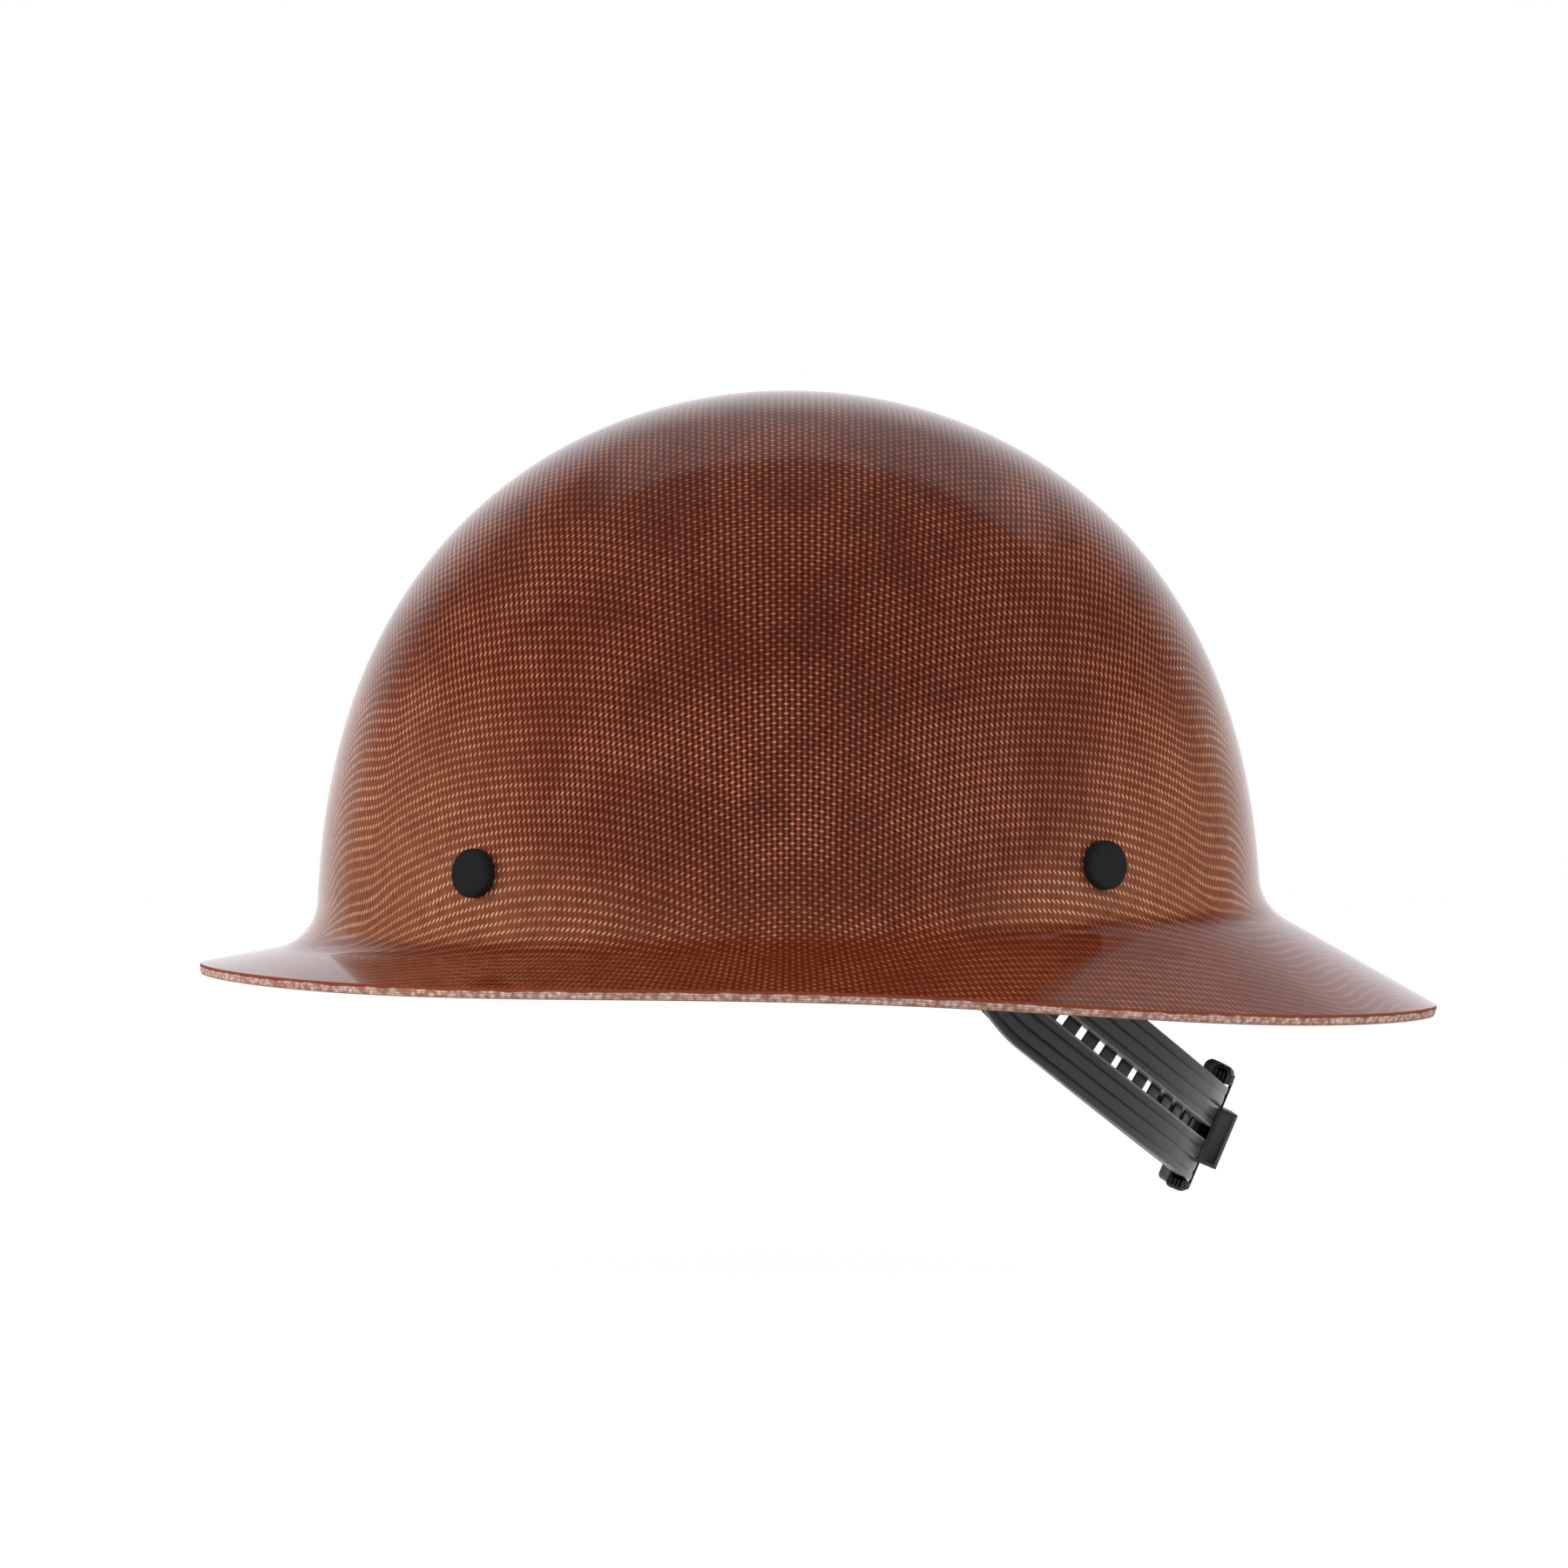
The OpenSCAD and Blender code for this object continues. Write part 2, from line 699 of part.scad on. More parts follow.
// Pin that holds the strap's eye against its boss
module pivot_pin(side) {
    inside = boss_in + seat_gap;
    head_from = eye_t + 2 * seat_gap;
    color(black_plastic)
        at_pivot(side) {
            translate([0, 0, -inside])
                cylinder(d = pin_d, h = inside + head_from + pin_head_t / 2, $fn = 48);
            translate([0, 0, head_from])
                cylinder(d = pin_head_d, h = pin_head_t, $fn = 64);
            translate([0, 0, -inside - pin_tail_t])
                cylinder(d = pin_tail_d, h = pin_tail_t, $fn = 48);
        }
}

module in_strap() {
    translate([0, pivot_back, pivot_height])
        rotate([-strap_slope, 0, 0])
            children();
}

module at_nape() {
    in_strap()
        translate([0, strap_reach, 0])
            rotate([strap_lean, 0, 0])
                children();
}

// Path, outward and upward directions of the strap at an angle round from a pivot
function lean_at(q) = strap_lean * sin(q);
function path_at(q) = [strap_half * cos(q), strap_reach * sin(q), 0];
function plan_out(q) = let (v = [cos(q) / strap_half, sin(q) / strap_reach, 0]) v / norm(v);
function out_at(q) = plan_out(q) * cos(lean_at(q)) + [0, 0, sin(lean_at(q))];
function up_at(q) = [0, 0, cos(lean_at(q))] - plan_out(q) * sin(lean_at(q));
function speed_at(q) = norm([strap_half * sin(q), strap_reach * cos(q)]) * PI / 180;
function half_at(q) =
    arm_width / 2 + (band_width - arm_width) / 2
        * smooth((strap_reach * sin(q) - shoulder_from) / (shoulder_to - shoulder_from));
function layer_at(q) = layer_shift * smooth((q - 3) / 13);

module strap_band(from, to, layer, step = 3) {
    n = ceil((to - from) / step);
    loft([for (k = [0:n])
        let (
            q = from + (to - from) * k / n,
            w = half_at(q),
            mid = path_at(q) + layer * layer_at(q) * out_at(q)
        )
        [for (c = [[-1, -1], [-1, 1], [1, 1], [1, -1]])
            mid + c[0] * strap_t / 2 * out_at(q) + c[1] * w * up_at(q)]]);
}

module strap_slot(from, to, step = 3) {
    n = ceil((to - from) / step);
    loft([for (k = [0:n])
        let (q = from + (to - from) * k / n)
        [for (c = [[-1, -1], [-1, 1], [1, 1], [1, -1]])
            path_at(q) + c[0] * 2 * strap_t * out_at(q) + c[1] * slot_width / 2 * up_at(q)]]);
}

module strap_eye() {
    translate([strap_half - eye_t / 2, 0, 0])
        rotate([0, 90, 0])
            cylinder(d = eye_d, h = eye_t, $fn = 64);
}

module strap_bore() {
    translate([strap_half - 2 * eye_t, 0, 0])
        rotate([0, 90, 0])
            cylinder(d = pin_d + 2 * run_gap, h = 4 * eye_t, $fn = 48);
}

// Outer strap, from the left pivot round the nape
module nape_strap_left() {
    color(dark_plastic)
        in_strap()
            difference() {
                union() {
                    strap_band(0, strap_left_end, 1);
                    strap_eye();
                }
                strap_slot(slot_from, slot_left_to);
                strap_bore();
                translate([0, strap_reach, 0])
                    rotate([strap_lean, 0, 0])
                        for (s = [1, -1])
                            saddle_peg(s, peg_d + 2 * run_gap, -strap_t, 2 * strap_t);
            }
}

// Middle of the ladder's gap that the lever's tooth enters, and of the gaps on either side
tooth_gap_x = tooth_x + (rung_pitch - rung_width) / 2 - tooth_tip_t / 2 - tooth_play;
function gap_q(k) =
    k == 0 ? acos(-tooth_gap_x / strap_half) :
    k > 0 ? let (q = gap_q(k - 1)) q + rung_pitch / speed_at(q) :
            let (q = gap_q(k + 1)) q - rung_pitch / speed_at(q);

// Inner strap, from the right pivot round the nape, with the ladder on its long tail
module nape_strap_right() {
    color(dark_plastic)
        in_strap()
            mirror([1, 0, 0]) {
                difference() {
                    union() {
                        strap_band(0, strap_right_end, -1);
                        strap_eye();
                    }
                    strap_slot(slot_from, slot_right_to);
                    strap_slot(ladder_from, ladder_to);
                    strap_bore();
                }
                for (k = [-rungs_before:rungs_after])
                    let (q = gap_q(k) + rung_pitch / 2 / speed_at(gap_q(k)))
                        if (q < ladder_to) rung(q);
            }
}

module rung(q) {
    out = out_at(q);
    up = up_at(q);
    side = cross(out, up);
    p = path_at(q);
    half = slot_width / 2 + rung_seat;
    multmatrix([
        [side.x, out.x, up.x, p.x],
        [side.y, out.y, up.y, p.y],
        [side.z, out.z, up.z, p.z],
        [0, 0, 0, 1]
    ])
        block([-rung_width / 2, -layer_gap / 2 - rung_set - rung_depth, -half],
              [rung_width / 2, -layer_gap / 2 - rung_set, half]);
}

// Part of a ring that follows the nape, from a profile of distances from the middle surface
module nape_arc(from, to, profile) {
    start = 90 - to / nape_r * 180 / PI;
    sweep = (to - from) / nape_r * 180 / PI;
    translate([0, -nape_r, 0])
        rotate([0, 0, start])
            rotate_extrude(angle = sweep, $fn = 96)
                translate([nape_r, 0])
                    polygon(profile);
}

// Inner guide: a plate behind the ladder, with a finger grip over each edge of the band
module lock_guide() {
    edge = band_width / 2 + free_gap;
    edge_top = edge + end_lift;
    top = band_width / 2 + grip_above;
    foot = band_width / 2 + grip_below;
    back = guide_from - guide_plate;
    c = grip_chamfer;
    color(black_plastic)
        at_nape()
            difference() {
                nape_arc(-guide_half, guide_half, [
                    [back, -foot + c], [back + c, -foot], [grip_to - c, -foot],
                    [grip_to, -foot + c], [grip_to, -edge], [guide_from, -edge],
                    [guide_from, edge_top], [grip_to, edge_top], [grip_to, top - c],
                    [grip_to - c, top], [back + c, top], [back, top - c]
                ]);
                for (s = [1, -1])
                    clip_stud(s, clip_d + 2 * run_gap, clip_depth + free_gap);
            }
}

// One of the two studs that hold the saddle's bridge in the guide's finger grips
module clip_stud(s, d, depth) {
    translate([0, grip_to + bridge_t / 2, s * (band_width / 2 + clip_seat)])
        rotate([90, 0, 0])
            cylinder(d = d, h = depth + bridge_t / 2, $fn = 32);
}

// One of the two pegs that fix the saddle to the outer strap's rails
module saddle_peg(s, d, from, to) {
    translate([peg_x, to, s * peg_spread])
        rotate([90, 0, 0])
            cylinder(d = d, h = to - from, $fn = 32);
}

module lever_axis(d, h) {
    translate([lever_pin_x, lever_pin_y, 0])
        cylinder(d = d, h = h, center = true, $fn = 48);
}

// Outer saddle: a plate on the band, with a neck in its slot and two ears for the lever's pin
module lock_saddle() {
    bridge = band_width / 2 + clip_seat + clip_d / 2;
    bridge_to = saddle_from + seat_gap + bridge_t;
    ear_h = lever_ear_out - lever_ear_in;
    color(black_plastic)
        at_nape()
            difference() {
                union() {
                    nape_arc(-saddle_far, saddle_near, [
                        [saddle_from, -saddle_half], [saddle_top, -saddle_half],
                        [saddle_top, saddle_half], [saddle_from, saddle_half]
                    ]);
                    nape_arc(-clip_half, clip_half, [
                        [saddle_from + seat_gap, -bridge], [bridge_to, -bridge],
                        [bridge_to, bridge], [saddle_from + seat_gap, bridge]
                    ]);
                    block([neck_far, neck_to, -neck_half],
                          [neck_near, saddle_from + saddle_t / 2, neck_half]);
                    for (s = [1, -1]) {
                        clip_stud(s, clip_d, clip_depth);
                        saddle_peg(s, peg_d, neck_to, saddle_from + saddle_t / 2);
                        translate([lever_pin_x, lever_pin_y, s * (lever_ear_in + ear_h / 2)]) {
                            cylinder(r = lever_ear_r, h = ear_h, center = true, $fn = 48);
                            block([-lever_ear_r, saddle_from - lever_pin_y - 0.4, -ear_h / 2],
                                  [lever_ear_r, 0, ear_h / 2]);
                        }
                    }
                }
                lever_axis(lever_pin_d + 2 * run_gap, lever_h);
            }
}

module lever_pin() {
    color(spring_steel)
        at_nape()
            lever_axis(lever_pin_d, lever_h - 1);
}

// Lever over the saddle: its free end lifts, and its tooth leaves the ladder
function lever_arc(from, to, reach) =
    [for (k = [0:6]) let (x = from + (to - from) * k / 6)
        [x, sqrt(pow(nape_r + reach, 2) - x * x) - nape_r]];

module lever_shell() {
    half = lever_h / 2;
    inside = half - lever_wall;
    roof = saddle_top + free_gap;
    far = lever_pin_x - lever_end_r;
    ear_clear = lever_ear_r + free_gap;
    low = -2 * strap_t;
    difference() {
        union() {
            translate([0, 0, -half])
                linear_extrude(lever_h)
                    polygon(concat(lever_arc(lever_pin_x, lever_reach, lever_under), [
                        [lever_reach, lever_face - lever_edge],
                        [lever_reach - lever_edge, lever_face],
                        [lever_pin_x - lever_edge, lever_face],
                        [far, lever_pin_y + lever_edge],
                        [far, lever_pin_y]
                    ]));
            lever_axis(2 * lever_end_r, lever_h);
        }
        translate([0, 0, -inside])
            linear_extrude(2 * inside)
                polygon(concat(
                    [[far - 1, low], [far - 1, lever_pin_y + ear_clear],
                     [lever_pin_x + ear_clear, lever_pin_y + ear_clear]],
                    lever_arc(lever_pin_x + ear_clear, lever_reach - lever_wall, roof),
                    [[lever_reach - lever_wall, low]]
                ));
        block([-clip_half - free_gap, low, -lever_h],
              [clip_half + free_gap, saddle_from + seat_gap + bridge_t + free_gap, lever_h]);
        block([lever_reach - lever_recess, lever_under, 1 - half],
              [lever_reach + 1, lever_face - 1, half - 1]);
        block([lever_pin_x + ear_clear, lever_face - lever_recess, 1.2 - half],
              [lever_reach - 1.5, lever_face + 1, half - 1.2]);
    }
}

module lock_lever() {
    roof = saddle_top + free_gap;
    middle = lever_ear_in - free_gap;
    tooth_from = tooth_x - tooth_tip_t / 2;
    color(black_plastic)
        at_nape()
            difference() {
                union() {
                    lever_shell();
                    lever_axis(2 * lever_barrel_r, 2 * middle);
                    block([lever_pin_x, lever_pin_y, -middle],
                          [lever_pin_x + lever_barrel_r, lever_face - lever_edge / 2, middle]);
                    translate([0, 0, -tooth_half])
                        linear_extrude(2 * tooth_half)
                            polygon([
                                [tooth_from, tooth_tip], [tooth_from + tooth_tip_t, tooth_tip],
                                [tooth_from + tooth_root_t, roof - free_gap],
                                [tooth_from + tooth_root_t, roof + tooth_tip_t / 2],
                                [tooth_from, roof + tooth_tip_t / 2]
                            ]);
                }
                lever_axis(lever_pin_d + 2 * run_gap, lever_h + 2);
            }
}

shell();
rivets();
washers();
lug(1, -1);  // lug_front_left
lug(-1, -1);  // lug_front_right
lug(1, 1);  // lug_rear_left
lug(-1, 1);  // lug_rear_right
hanger(1, -1);  // hanger_front_left
hanger(-1, -1);  // hanger_front_right
hanger(1, 1);  // hanger_rear_left
hanger(-1, 1);  // hanger_rear_right
crown_strap(1, 0);  // crown_strap_lower
crown_strap(-1, webbing_cross_lift);  // crown_strap_upper
headband();
brow_pad();
brow_pad_studs();
pivot_pin(1);  // pivot_pin_left
pivot_pin(-1);  // pivot_pin_right
nape_strap_left();
nape_strap_right();
lock_guide();
lock_saddle();
lever_pin();
lock_lever();
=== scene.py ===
"""Full brim hard hat: laminate shell, nape strap, slide lock and webbing suspension, built round the CAD frame."""

import math
from functools import cached_property

import bmesh
import bpy
import numpy as np
from bpy.props import FloatProperty, FloatVectorProperty, PointerProperty
from mathutils import Matrix, Vector


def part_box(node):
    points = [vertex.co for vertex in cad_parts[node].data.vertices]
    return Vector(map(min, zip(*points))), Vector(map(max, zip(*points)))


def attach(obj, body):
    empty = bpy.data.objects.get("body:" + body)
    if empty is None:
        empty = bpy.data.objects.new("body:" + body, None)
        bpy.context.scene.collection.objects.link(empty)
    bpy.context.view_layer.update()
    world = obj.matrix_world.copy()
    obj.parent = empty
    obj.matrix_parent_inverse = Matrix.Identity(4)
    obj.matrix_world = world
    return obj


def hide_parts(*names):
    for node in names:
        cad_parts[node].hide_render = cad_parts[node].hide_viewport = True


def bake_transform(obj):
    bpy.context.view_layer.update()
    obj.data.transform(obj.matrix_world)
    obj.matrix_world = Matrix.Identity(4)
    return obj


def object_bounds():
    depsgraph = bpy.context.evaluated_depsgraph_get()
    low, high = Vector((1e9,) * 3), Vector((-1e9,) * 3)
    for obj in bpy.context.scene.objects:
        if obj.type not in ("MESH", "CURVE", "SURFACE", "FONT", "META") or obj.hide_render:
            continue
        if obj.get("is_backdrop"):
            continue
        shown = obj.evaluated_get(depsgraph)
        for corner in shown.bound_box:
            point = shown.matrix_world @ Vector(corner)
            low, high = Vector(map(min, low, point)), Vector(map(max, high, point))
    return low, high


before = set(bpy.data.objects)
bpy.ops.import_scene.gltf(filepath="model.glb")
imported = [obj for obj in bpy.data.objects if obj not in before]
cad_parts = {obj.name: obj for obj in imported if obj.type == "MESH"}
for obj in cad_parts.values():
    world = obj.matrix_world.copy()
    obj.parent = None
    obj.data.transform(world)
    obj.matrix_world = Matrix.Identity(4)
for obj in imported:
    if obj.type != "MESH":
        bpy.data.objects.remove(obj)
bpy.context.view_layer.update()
MM = 0.001
WHITE = (1, 1, 1)
UP = Vector((0, 0, 1))

bl_info = {
    "name": "Full brim hard hat",
    "version": (1, 0, 0),
    "blender": (4, 5, 0),
    "location": "View3D > Sidebar > Hard hat",
    "description": "Builds the hat's shell, suspension, nape strap and slide lock round the CAD frame",
    "category": "Object",
}


def sizes(group):
    """One group of the user's values."""
    return getattr(bpy.context.scene, "hat_" + group)


def length(name, description, default_mm):
    return FloatProperty(name=name, description=description, default=default_mm * MM, min=0, unit="LENGTH",
                         precision=4)


def angle(name, description, default_degrees):
    return FloatProperty(name=name, description=description, default=math.radians(default_degrees), subtype="ANGLE")


def number(name, description, default):
    return FloatProperty(name=name, description=description, default=default)


def colour(name, description, *default):
    return FloatVectorProperty(name=name, description=description, default=default, size=3, min=0, max=1,
                               subtype="COLOR")


class HatShellSizes(bpy.types.PropertyGroup):
    crown_length: length("Crown length", "Outside length of the crown at its base", 241.4)
    crown_width: length("Crown width", "Outside width of the crown at its base", 212)
    crown_height: length("Crown height", "Height of the crown's top above the headband's lower edge", 147.7)
    shoulder: number("Shoulder", "Exponent of the crown's shoulder", 2.48)
    roundness: number("Roundness", "Exponent of the crown's top", 2.02)
    wall: length("Wall", "Thickness of the laminate", 2.6)
    brim_front: length("Front brim", "Overhang of the brim in front", 29.3)
    brim_side: length("Side brim", "Overhang of the brim at each side", 30)
    brim_rear: length("Rear brim", "Overhang of the brim behind", 44.3)
    brim_fillet: length("Brim hollow", "Radius where the wall turns out into the brim", 13)
    slope_front: angle("Front slope", "Slope of the brim in front", 10.5)
    slope_front_quarter: angle("Front quarter slope", "Slope between the front and the sides", 15.9)
    slope_side: angle("Side slope", "Slope of the brim at the sides", 21.1)
    slope_rear_quarter: angle("Rear quarter slope", "Slope between the sides and the rear", 31.1)
    slope_rear: angle("Rear slope", "Slope of the brim behind", 29.5)
    base_front: length("Front base", "Height at which the front brim meets the wall", 7.4)
    base_side: length("Side base", "Height at which the side brims meet the wall", 10.6)
    base_rear: length("Rear base", "Height at which the rear brim meets the wall", 16.6)
    rivet_turn: angle("Rivet turn", "Turn of a rivet's axis away from straight sideways", 35.6)
    rivet_front: length("Front rivet height", "Height of the front rivets", 25.5)
    rivet_rear: length("Rear rivet height", "Height of the rear rivets", 27.5)


class HatClothSizes(bpy.types.PropertyGroup):
    warp_pitch: length("Warp pitch", "Distance from one warp thread to the next", 1.6)
    weft_pitch: length("Weft pitch", "Distance from one weft thread to the next", 1.17)
    edge_layer: length("Cut layer", "Thickness of one layer of cloth in the cut edge", 0.65)
    drape: angle("Drape", "How far round a ball the warp is drawn, from the crown's top to the brim", 80)
    bow: length("Bow", "Radius of the weft's bow at the middle of each side", 51.5)
    webbing_rib: length("Webbing rib", "Distance from one rib of the webbing to the next", 1.3)


class HatStrapSizes(bpy.types.PropertyGroup):
    pivot_back: length("Pivot setback", "Distance of the strap's pivots behind the origin", 26)
    pivot_height: length("Pivot height", "Height of the strap's pivots", 23)
    slope: angle("Strap slope", "Slope of the strap below level", 39)
    lean: angle("Strap lean", "Forward lean of the strap's upper edge at the nape", 16.3)
    half: length("Strap half width", "Distance of the strap's middle surface from the middle at the pivots", 80.5)
    reach: length("Strap reach", "Distance from the pivots to the nape", 102.6)
    band: length("Band width", "Width of the two-railed band", 25.4)
    arm: length("Arm width", "Width of the narrow arm beside the pivot", 13)
    thick: length("Strap thickness", "Thickness of each strap", 1.6)
    slot: length("Slot width", "Width of the slot between the rails", 3.4)
    rung_pitch: length("Rung pitch", "Distance from rung to rung", 6.9)
    rung_width: length("Rung width", "Width of a rung", 4.5)
    groove: length("Groove depth", "Depth of the grooves along the rails", 0.34)


class HatColours(bpy.types.PropertyGroup):
    ground: colour("Ground", "Resin between the threads", 0.072, 0.0090, 0.002)
    # The darkest and lightest resin and the paler thread stand for random patches and also for painted shade and
    # painted light: the laminate is painted lighter in front, behind and low down, and darker high at the middle of
    # each side.
    deep_ground: colour("Deep ground", "Resin where the laminate is darkest", 0.044, 0.0050, 0.002)
    light_ground: colour("Light ground", "Resin where the laminate is lightest", 0.172, 0.053, 0.021)
    thread: colour("Thread", "Top of a weft thread", 0.46, 0.225, 0.115)
    # The paler thread is painted light in front and behind, and is also lighter in random patches.
    pale_thread: colour("Pale thread", "Top of a weft thread in front and behind", 0.72, 0.44, 0.27)
    warp: colour("Warp", "Top of a warp thread", 0.23, 0.058, 0.026)
    brim_tone: colour("Brim tone", "Resin-rich laminate of the brim", 0.080, 0.009, 0.002)
    brim_thread: colour("Brim thread", "Top of a weft thread on the brim", 0.50, 0.165, 0.060)
    brim_warp: colour("Brim warp", "Top of a warp thread on the brim", 0.17, 0.032, 0.006)
    cut: colour("Cut edge", "Cut ends of the cloth in the brim's edge", 0.45, 0.32, 0.27)
    # Besides the resin between the cut layers, this tone is painted shade along the cut edge's lower rim.
    cut_dark: colour("Cut edge shade", "Resin between the cut layers", 0.16, 0.08, 0.06)
    cut_pale: colour("Thread ends", "Pale thread ends in the cut edge", 0.70, 0.60, 0.55)
    cut_deep: colour("Thread gaps", "Gaps between the thread ends", 0.20, 0.075, 0.045)
    cut_torn: colour("Torn rim", "Torn upper rim of the cut edge", 0.16, 0.030, 0.010)
    black: colour("Black plastic", "Rivet caps, guide and lever", 0.012, 0.0115, 0.013)
    grey: colour("Grey plastic", "Headband, hangers and lugs", 0.055, 0.055, 0.058)
    strap: colour("Strap plastic", "Nape straps", 0.019, 0.019, 0.0195)
    fibre: colour("Fibre", "Washers", 0.22, 0.19, 0.15)
    webbing: colour("Webbing", "Crown webbing", 0.045, 0.045, 0.048)
    stitch: colour("Stitch", "Sewing thread", 0.16, 0.16, 0.165)
    stitch_dark: colour("Stitch shade", "Sewing thread between its strands", 0.05, 0.05, 0.052)
    pad: colour("Pad", "Brow pad's cloth", 0.075, 0.072, 0.070)
    steel: colour("Steel", "Lever's pin", 0.55, 0.55, 0.56)
    floor: colour("Floor", "Floor under the hat", 0.86, 0.86, 0.86)


# ---- Finishes ----

class Value:
    """A node's output to reckon with: each sign adds a Math node to its tree."""

    def __init__(self, tree, socket):
        self.tree, self.socket = tree, socket

    def __add__(self, other):
        return self.tree.maths("ADD", self, other)

    def __sub__(self, other):
        return self.tree.maths("SUBTRACT", self, other)

    def __rsub__(self, other):
        return self.tree.maths("SUBTRACT", other, self)

    def __mul__(self, other):
        return self.tree.maths("MULTIPLY", self, other)

    def __truediv__(self, other):
        return self.tree.maths("DIVIDE", self, other)

    def __pow__(self, other):
        return self.tree.maths("POWER", self, other)

    def __abs__(self):
        return self.tree.maths("ABSOLUTE", self)


class Tree:
    """The node tree of a new material or world, with short calls for the nodes it needs."""

    def __init__(self, owner):
        owner.use_nodes = True
        self.owner, self.nodes, self.links = owner, owner.node_tree.nodes, owner.node_tree.links
        self.nodes.clear()

    def put(self, socket, value):
        if isinstance(value, Value):
            value = value.socket
        if isinstance(value, bpy.types.NodeSocket):
            self.links.new(value, socket)
        else:
            socket.default_value = (*value, 1) if socket.type == "RGBA" else value

    def node(self, kind, inputs=(), **settings):
        made = self.nodes.new("ShaderNode" + kind)
        for key, value in settings.items():
            setattr(made, key, value)
        for key, value in dict(inputs).items():
            self.put(made.inputs[key], value)
        return made

    def value(self, kind, output, inputs=(), **settings):
        """One output of a new node."""
        return Value(self, self.node(kind, inputs, **settings).outputs[output])

    def maths(self, operation, *values):
        return self.value("Math", 0, enumerate(values), operation=operation)

    def sine(self, value):
        return self.maths("SINE", value)

    def larger(self, first, second):
        return self.maths("MAXIMUM", first, second)

    def smooth(self, value, low, high, to_low=0.0, to_high=1.0):
        """An eased step from to_low to to_high, as the value goes from low to high."""
        return self.value("MapRange", 0, {"Value": value, "From Min": low, "From Max": high, "To Min": to_low,
                                          "To Max": to_high}, interpolation_type="SMOOTHSTEP")

    def mix(self, share, first, second, blend="MIX"):
        return self.value("Mix", 2, {"Factor": share, 6: first, 7: second}, data_type="RGBA", blend_type=blend)

    @cached_property
    def place(self):
        """Object coordinates, which on a finished piece are the frame's."""
        return self.value("TexCoord", "Object")

    def axes(self, vector):
        return [Value(self, output) for output in self.node("SeparateXYZ", {"Vector": vector}).outputs]

    def noise(self, scale, detail=3.0, rough=0.55, stretch=None, where=None):
        where = where or self.place
        if stretch:
            where = self.value("Mapping", 0, {"Vector": where, "Scale": stretch})
        return self.value("TexNoise", "Fac", {"Vector": where, "Scale": scale, "Detail": detail, "Roughness": rough})

    def cells(self, scale):
        return self.value("TexVoronoi", "Distance", {"Vector": self.place, "Scale": scale}, feature="F1")

    def bump(self, height, distance, strength):
        return self.value("Bump", 0, {"Height": height, "Distance": distance, "Strength": strength})

    def either(self, share, first, second):
        """The first shader, or by its share the second."""
        return self.value("MixShader", 0, {0: share, 1: first, 2: second})

    def end(self, shader, kind="OutputMaterial"):
        self.node(kind, {"Surface": shader})

    def surface(self, base, roughness, normal, **constants):
        """Ends in the Principled shader. Constants are set on its own sockets, as the export drops them when linked."""
        inputs = {key.replace("_", " "): value for key, value in constants.items()}
        self.end(self.value("BsdfPrincipled", 0, {"Base Color": base, "Roughness": roughness, "Normal": normal,
                                                  **inputs}))


def times(share, tint):
    return tuple(min(1, share * x) for x in tint)


def cloth_laminate(r, c):
    """Resin-bonded cloth: a plain weave under a gloss coat, darker and lighter in broad patches, with painted light in
    front, behind and low down and painted shade high at the middle of each side.
    """
    warp, weft, _ = r.axes(r.value("UVMap", 0, uv_map="cloth"))
    _, ahead, up = r.axes(r.place)
    drift, patch, fray = r.noise(38, 2.0), r.noise(11), r.noise(420, 1.0)
    brim = r.smooth(r.value("Attribute", "Fac", attribute_name="brim_share"), 0.45, 0.85)
    # The weave: dots where a weft thread lies on top, lines along the warp, and rows along the weft at the sides
    across = r.sine((warp + (drift - 0.5) * 0.5) * math.pi)
    along = r.sine((weft + (drift - 0.5) * -0.4) * math.pi)
    row = abs(along)
    dots = r.smooth(across * along * row ** 1.8, 0.26, 0.82)
    rows = r.smooth(abs(ahead), 0.05, 0.10, 0.45, 0.0)
    lines = r.larger(r.smooth(abs(across), 0.70, 1.0), r.smooth(row, 0.72, 1.0) * rows)
    # How light the cloth is: painted light in front and behind, fading upwards, and low down, with painted shade high
    # at the middle of each side, and lighter and darker in random patches
    ends = r.smooth(abs(ahead), 0.02, 0.115)
    high = r.smooth(up, 0.03, 0.115)
    light = ends * (1.0 - high * 0.8) + (patch - 0.5) * 0.9 + r.smooth(up, 0.040, 0.012, 0.0, 0.48)
    ground = r.mix(r.smooth(light, -0.1, 0.7), c.deep_ground, c.ground)
    ground = r.mix(r.smooth(light, 0.35, 1.2), ground, c.light_ground)
    ground = r.mix(brim * 0.92, ground, c.brim_tone)
    thread = r.mix(r.smooth(light, 0.35, 1.1), c.thread, c.pale_thread)
    thread = r.mix(brim, thread, c.brim_thread)
    # How strongly the weave shows: less on the brim, and weaker high at the middle of each side, which deepens the
    # painted shade there
    strong = r.smooth(r.noise(55, 2.0), 0.35, 0.65, 0.55, 1.0) * (1.0 - brim * 0.2)
    strong = strong * (1.0 - r.smooth(ends, 0.0, 0.6, 0.42, 0.0) * r.smooth(up, 0.04, 0.09))
    base = r.mix(lines * strong, ground, r.mix(brim, c.warp, c.brim_warp))
    base = r.mix(dots * strong, base, thread)
    base = r.mix(r.smooth(fray, 0.3, 0.75, 0.0, 0.25), base, c.ground, "MULTIPLY")
    height = dots * 0.6 + lines * 0.3 + r.noise(150, 2.0) * 0.8
    r.surface(base, r.smooth(patch, 0.3, 0.7, 0.42, 0.54), r.bump(height, 0.06 * MM, 0.6),
              Coat_Weight=0.8, Coat_Roughness=0.06, Coat_IOR=1.5, Specular_IOR_Level=0.12)


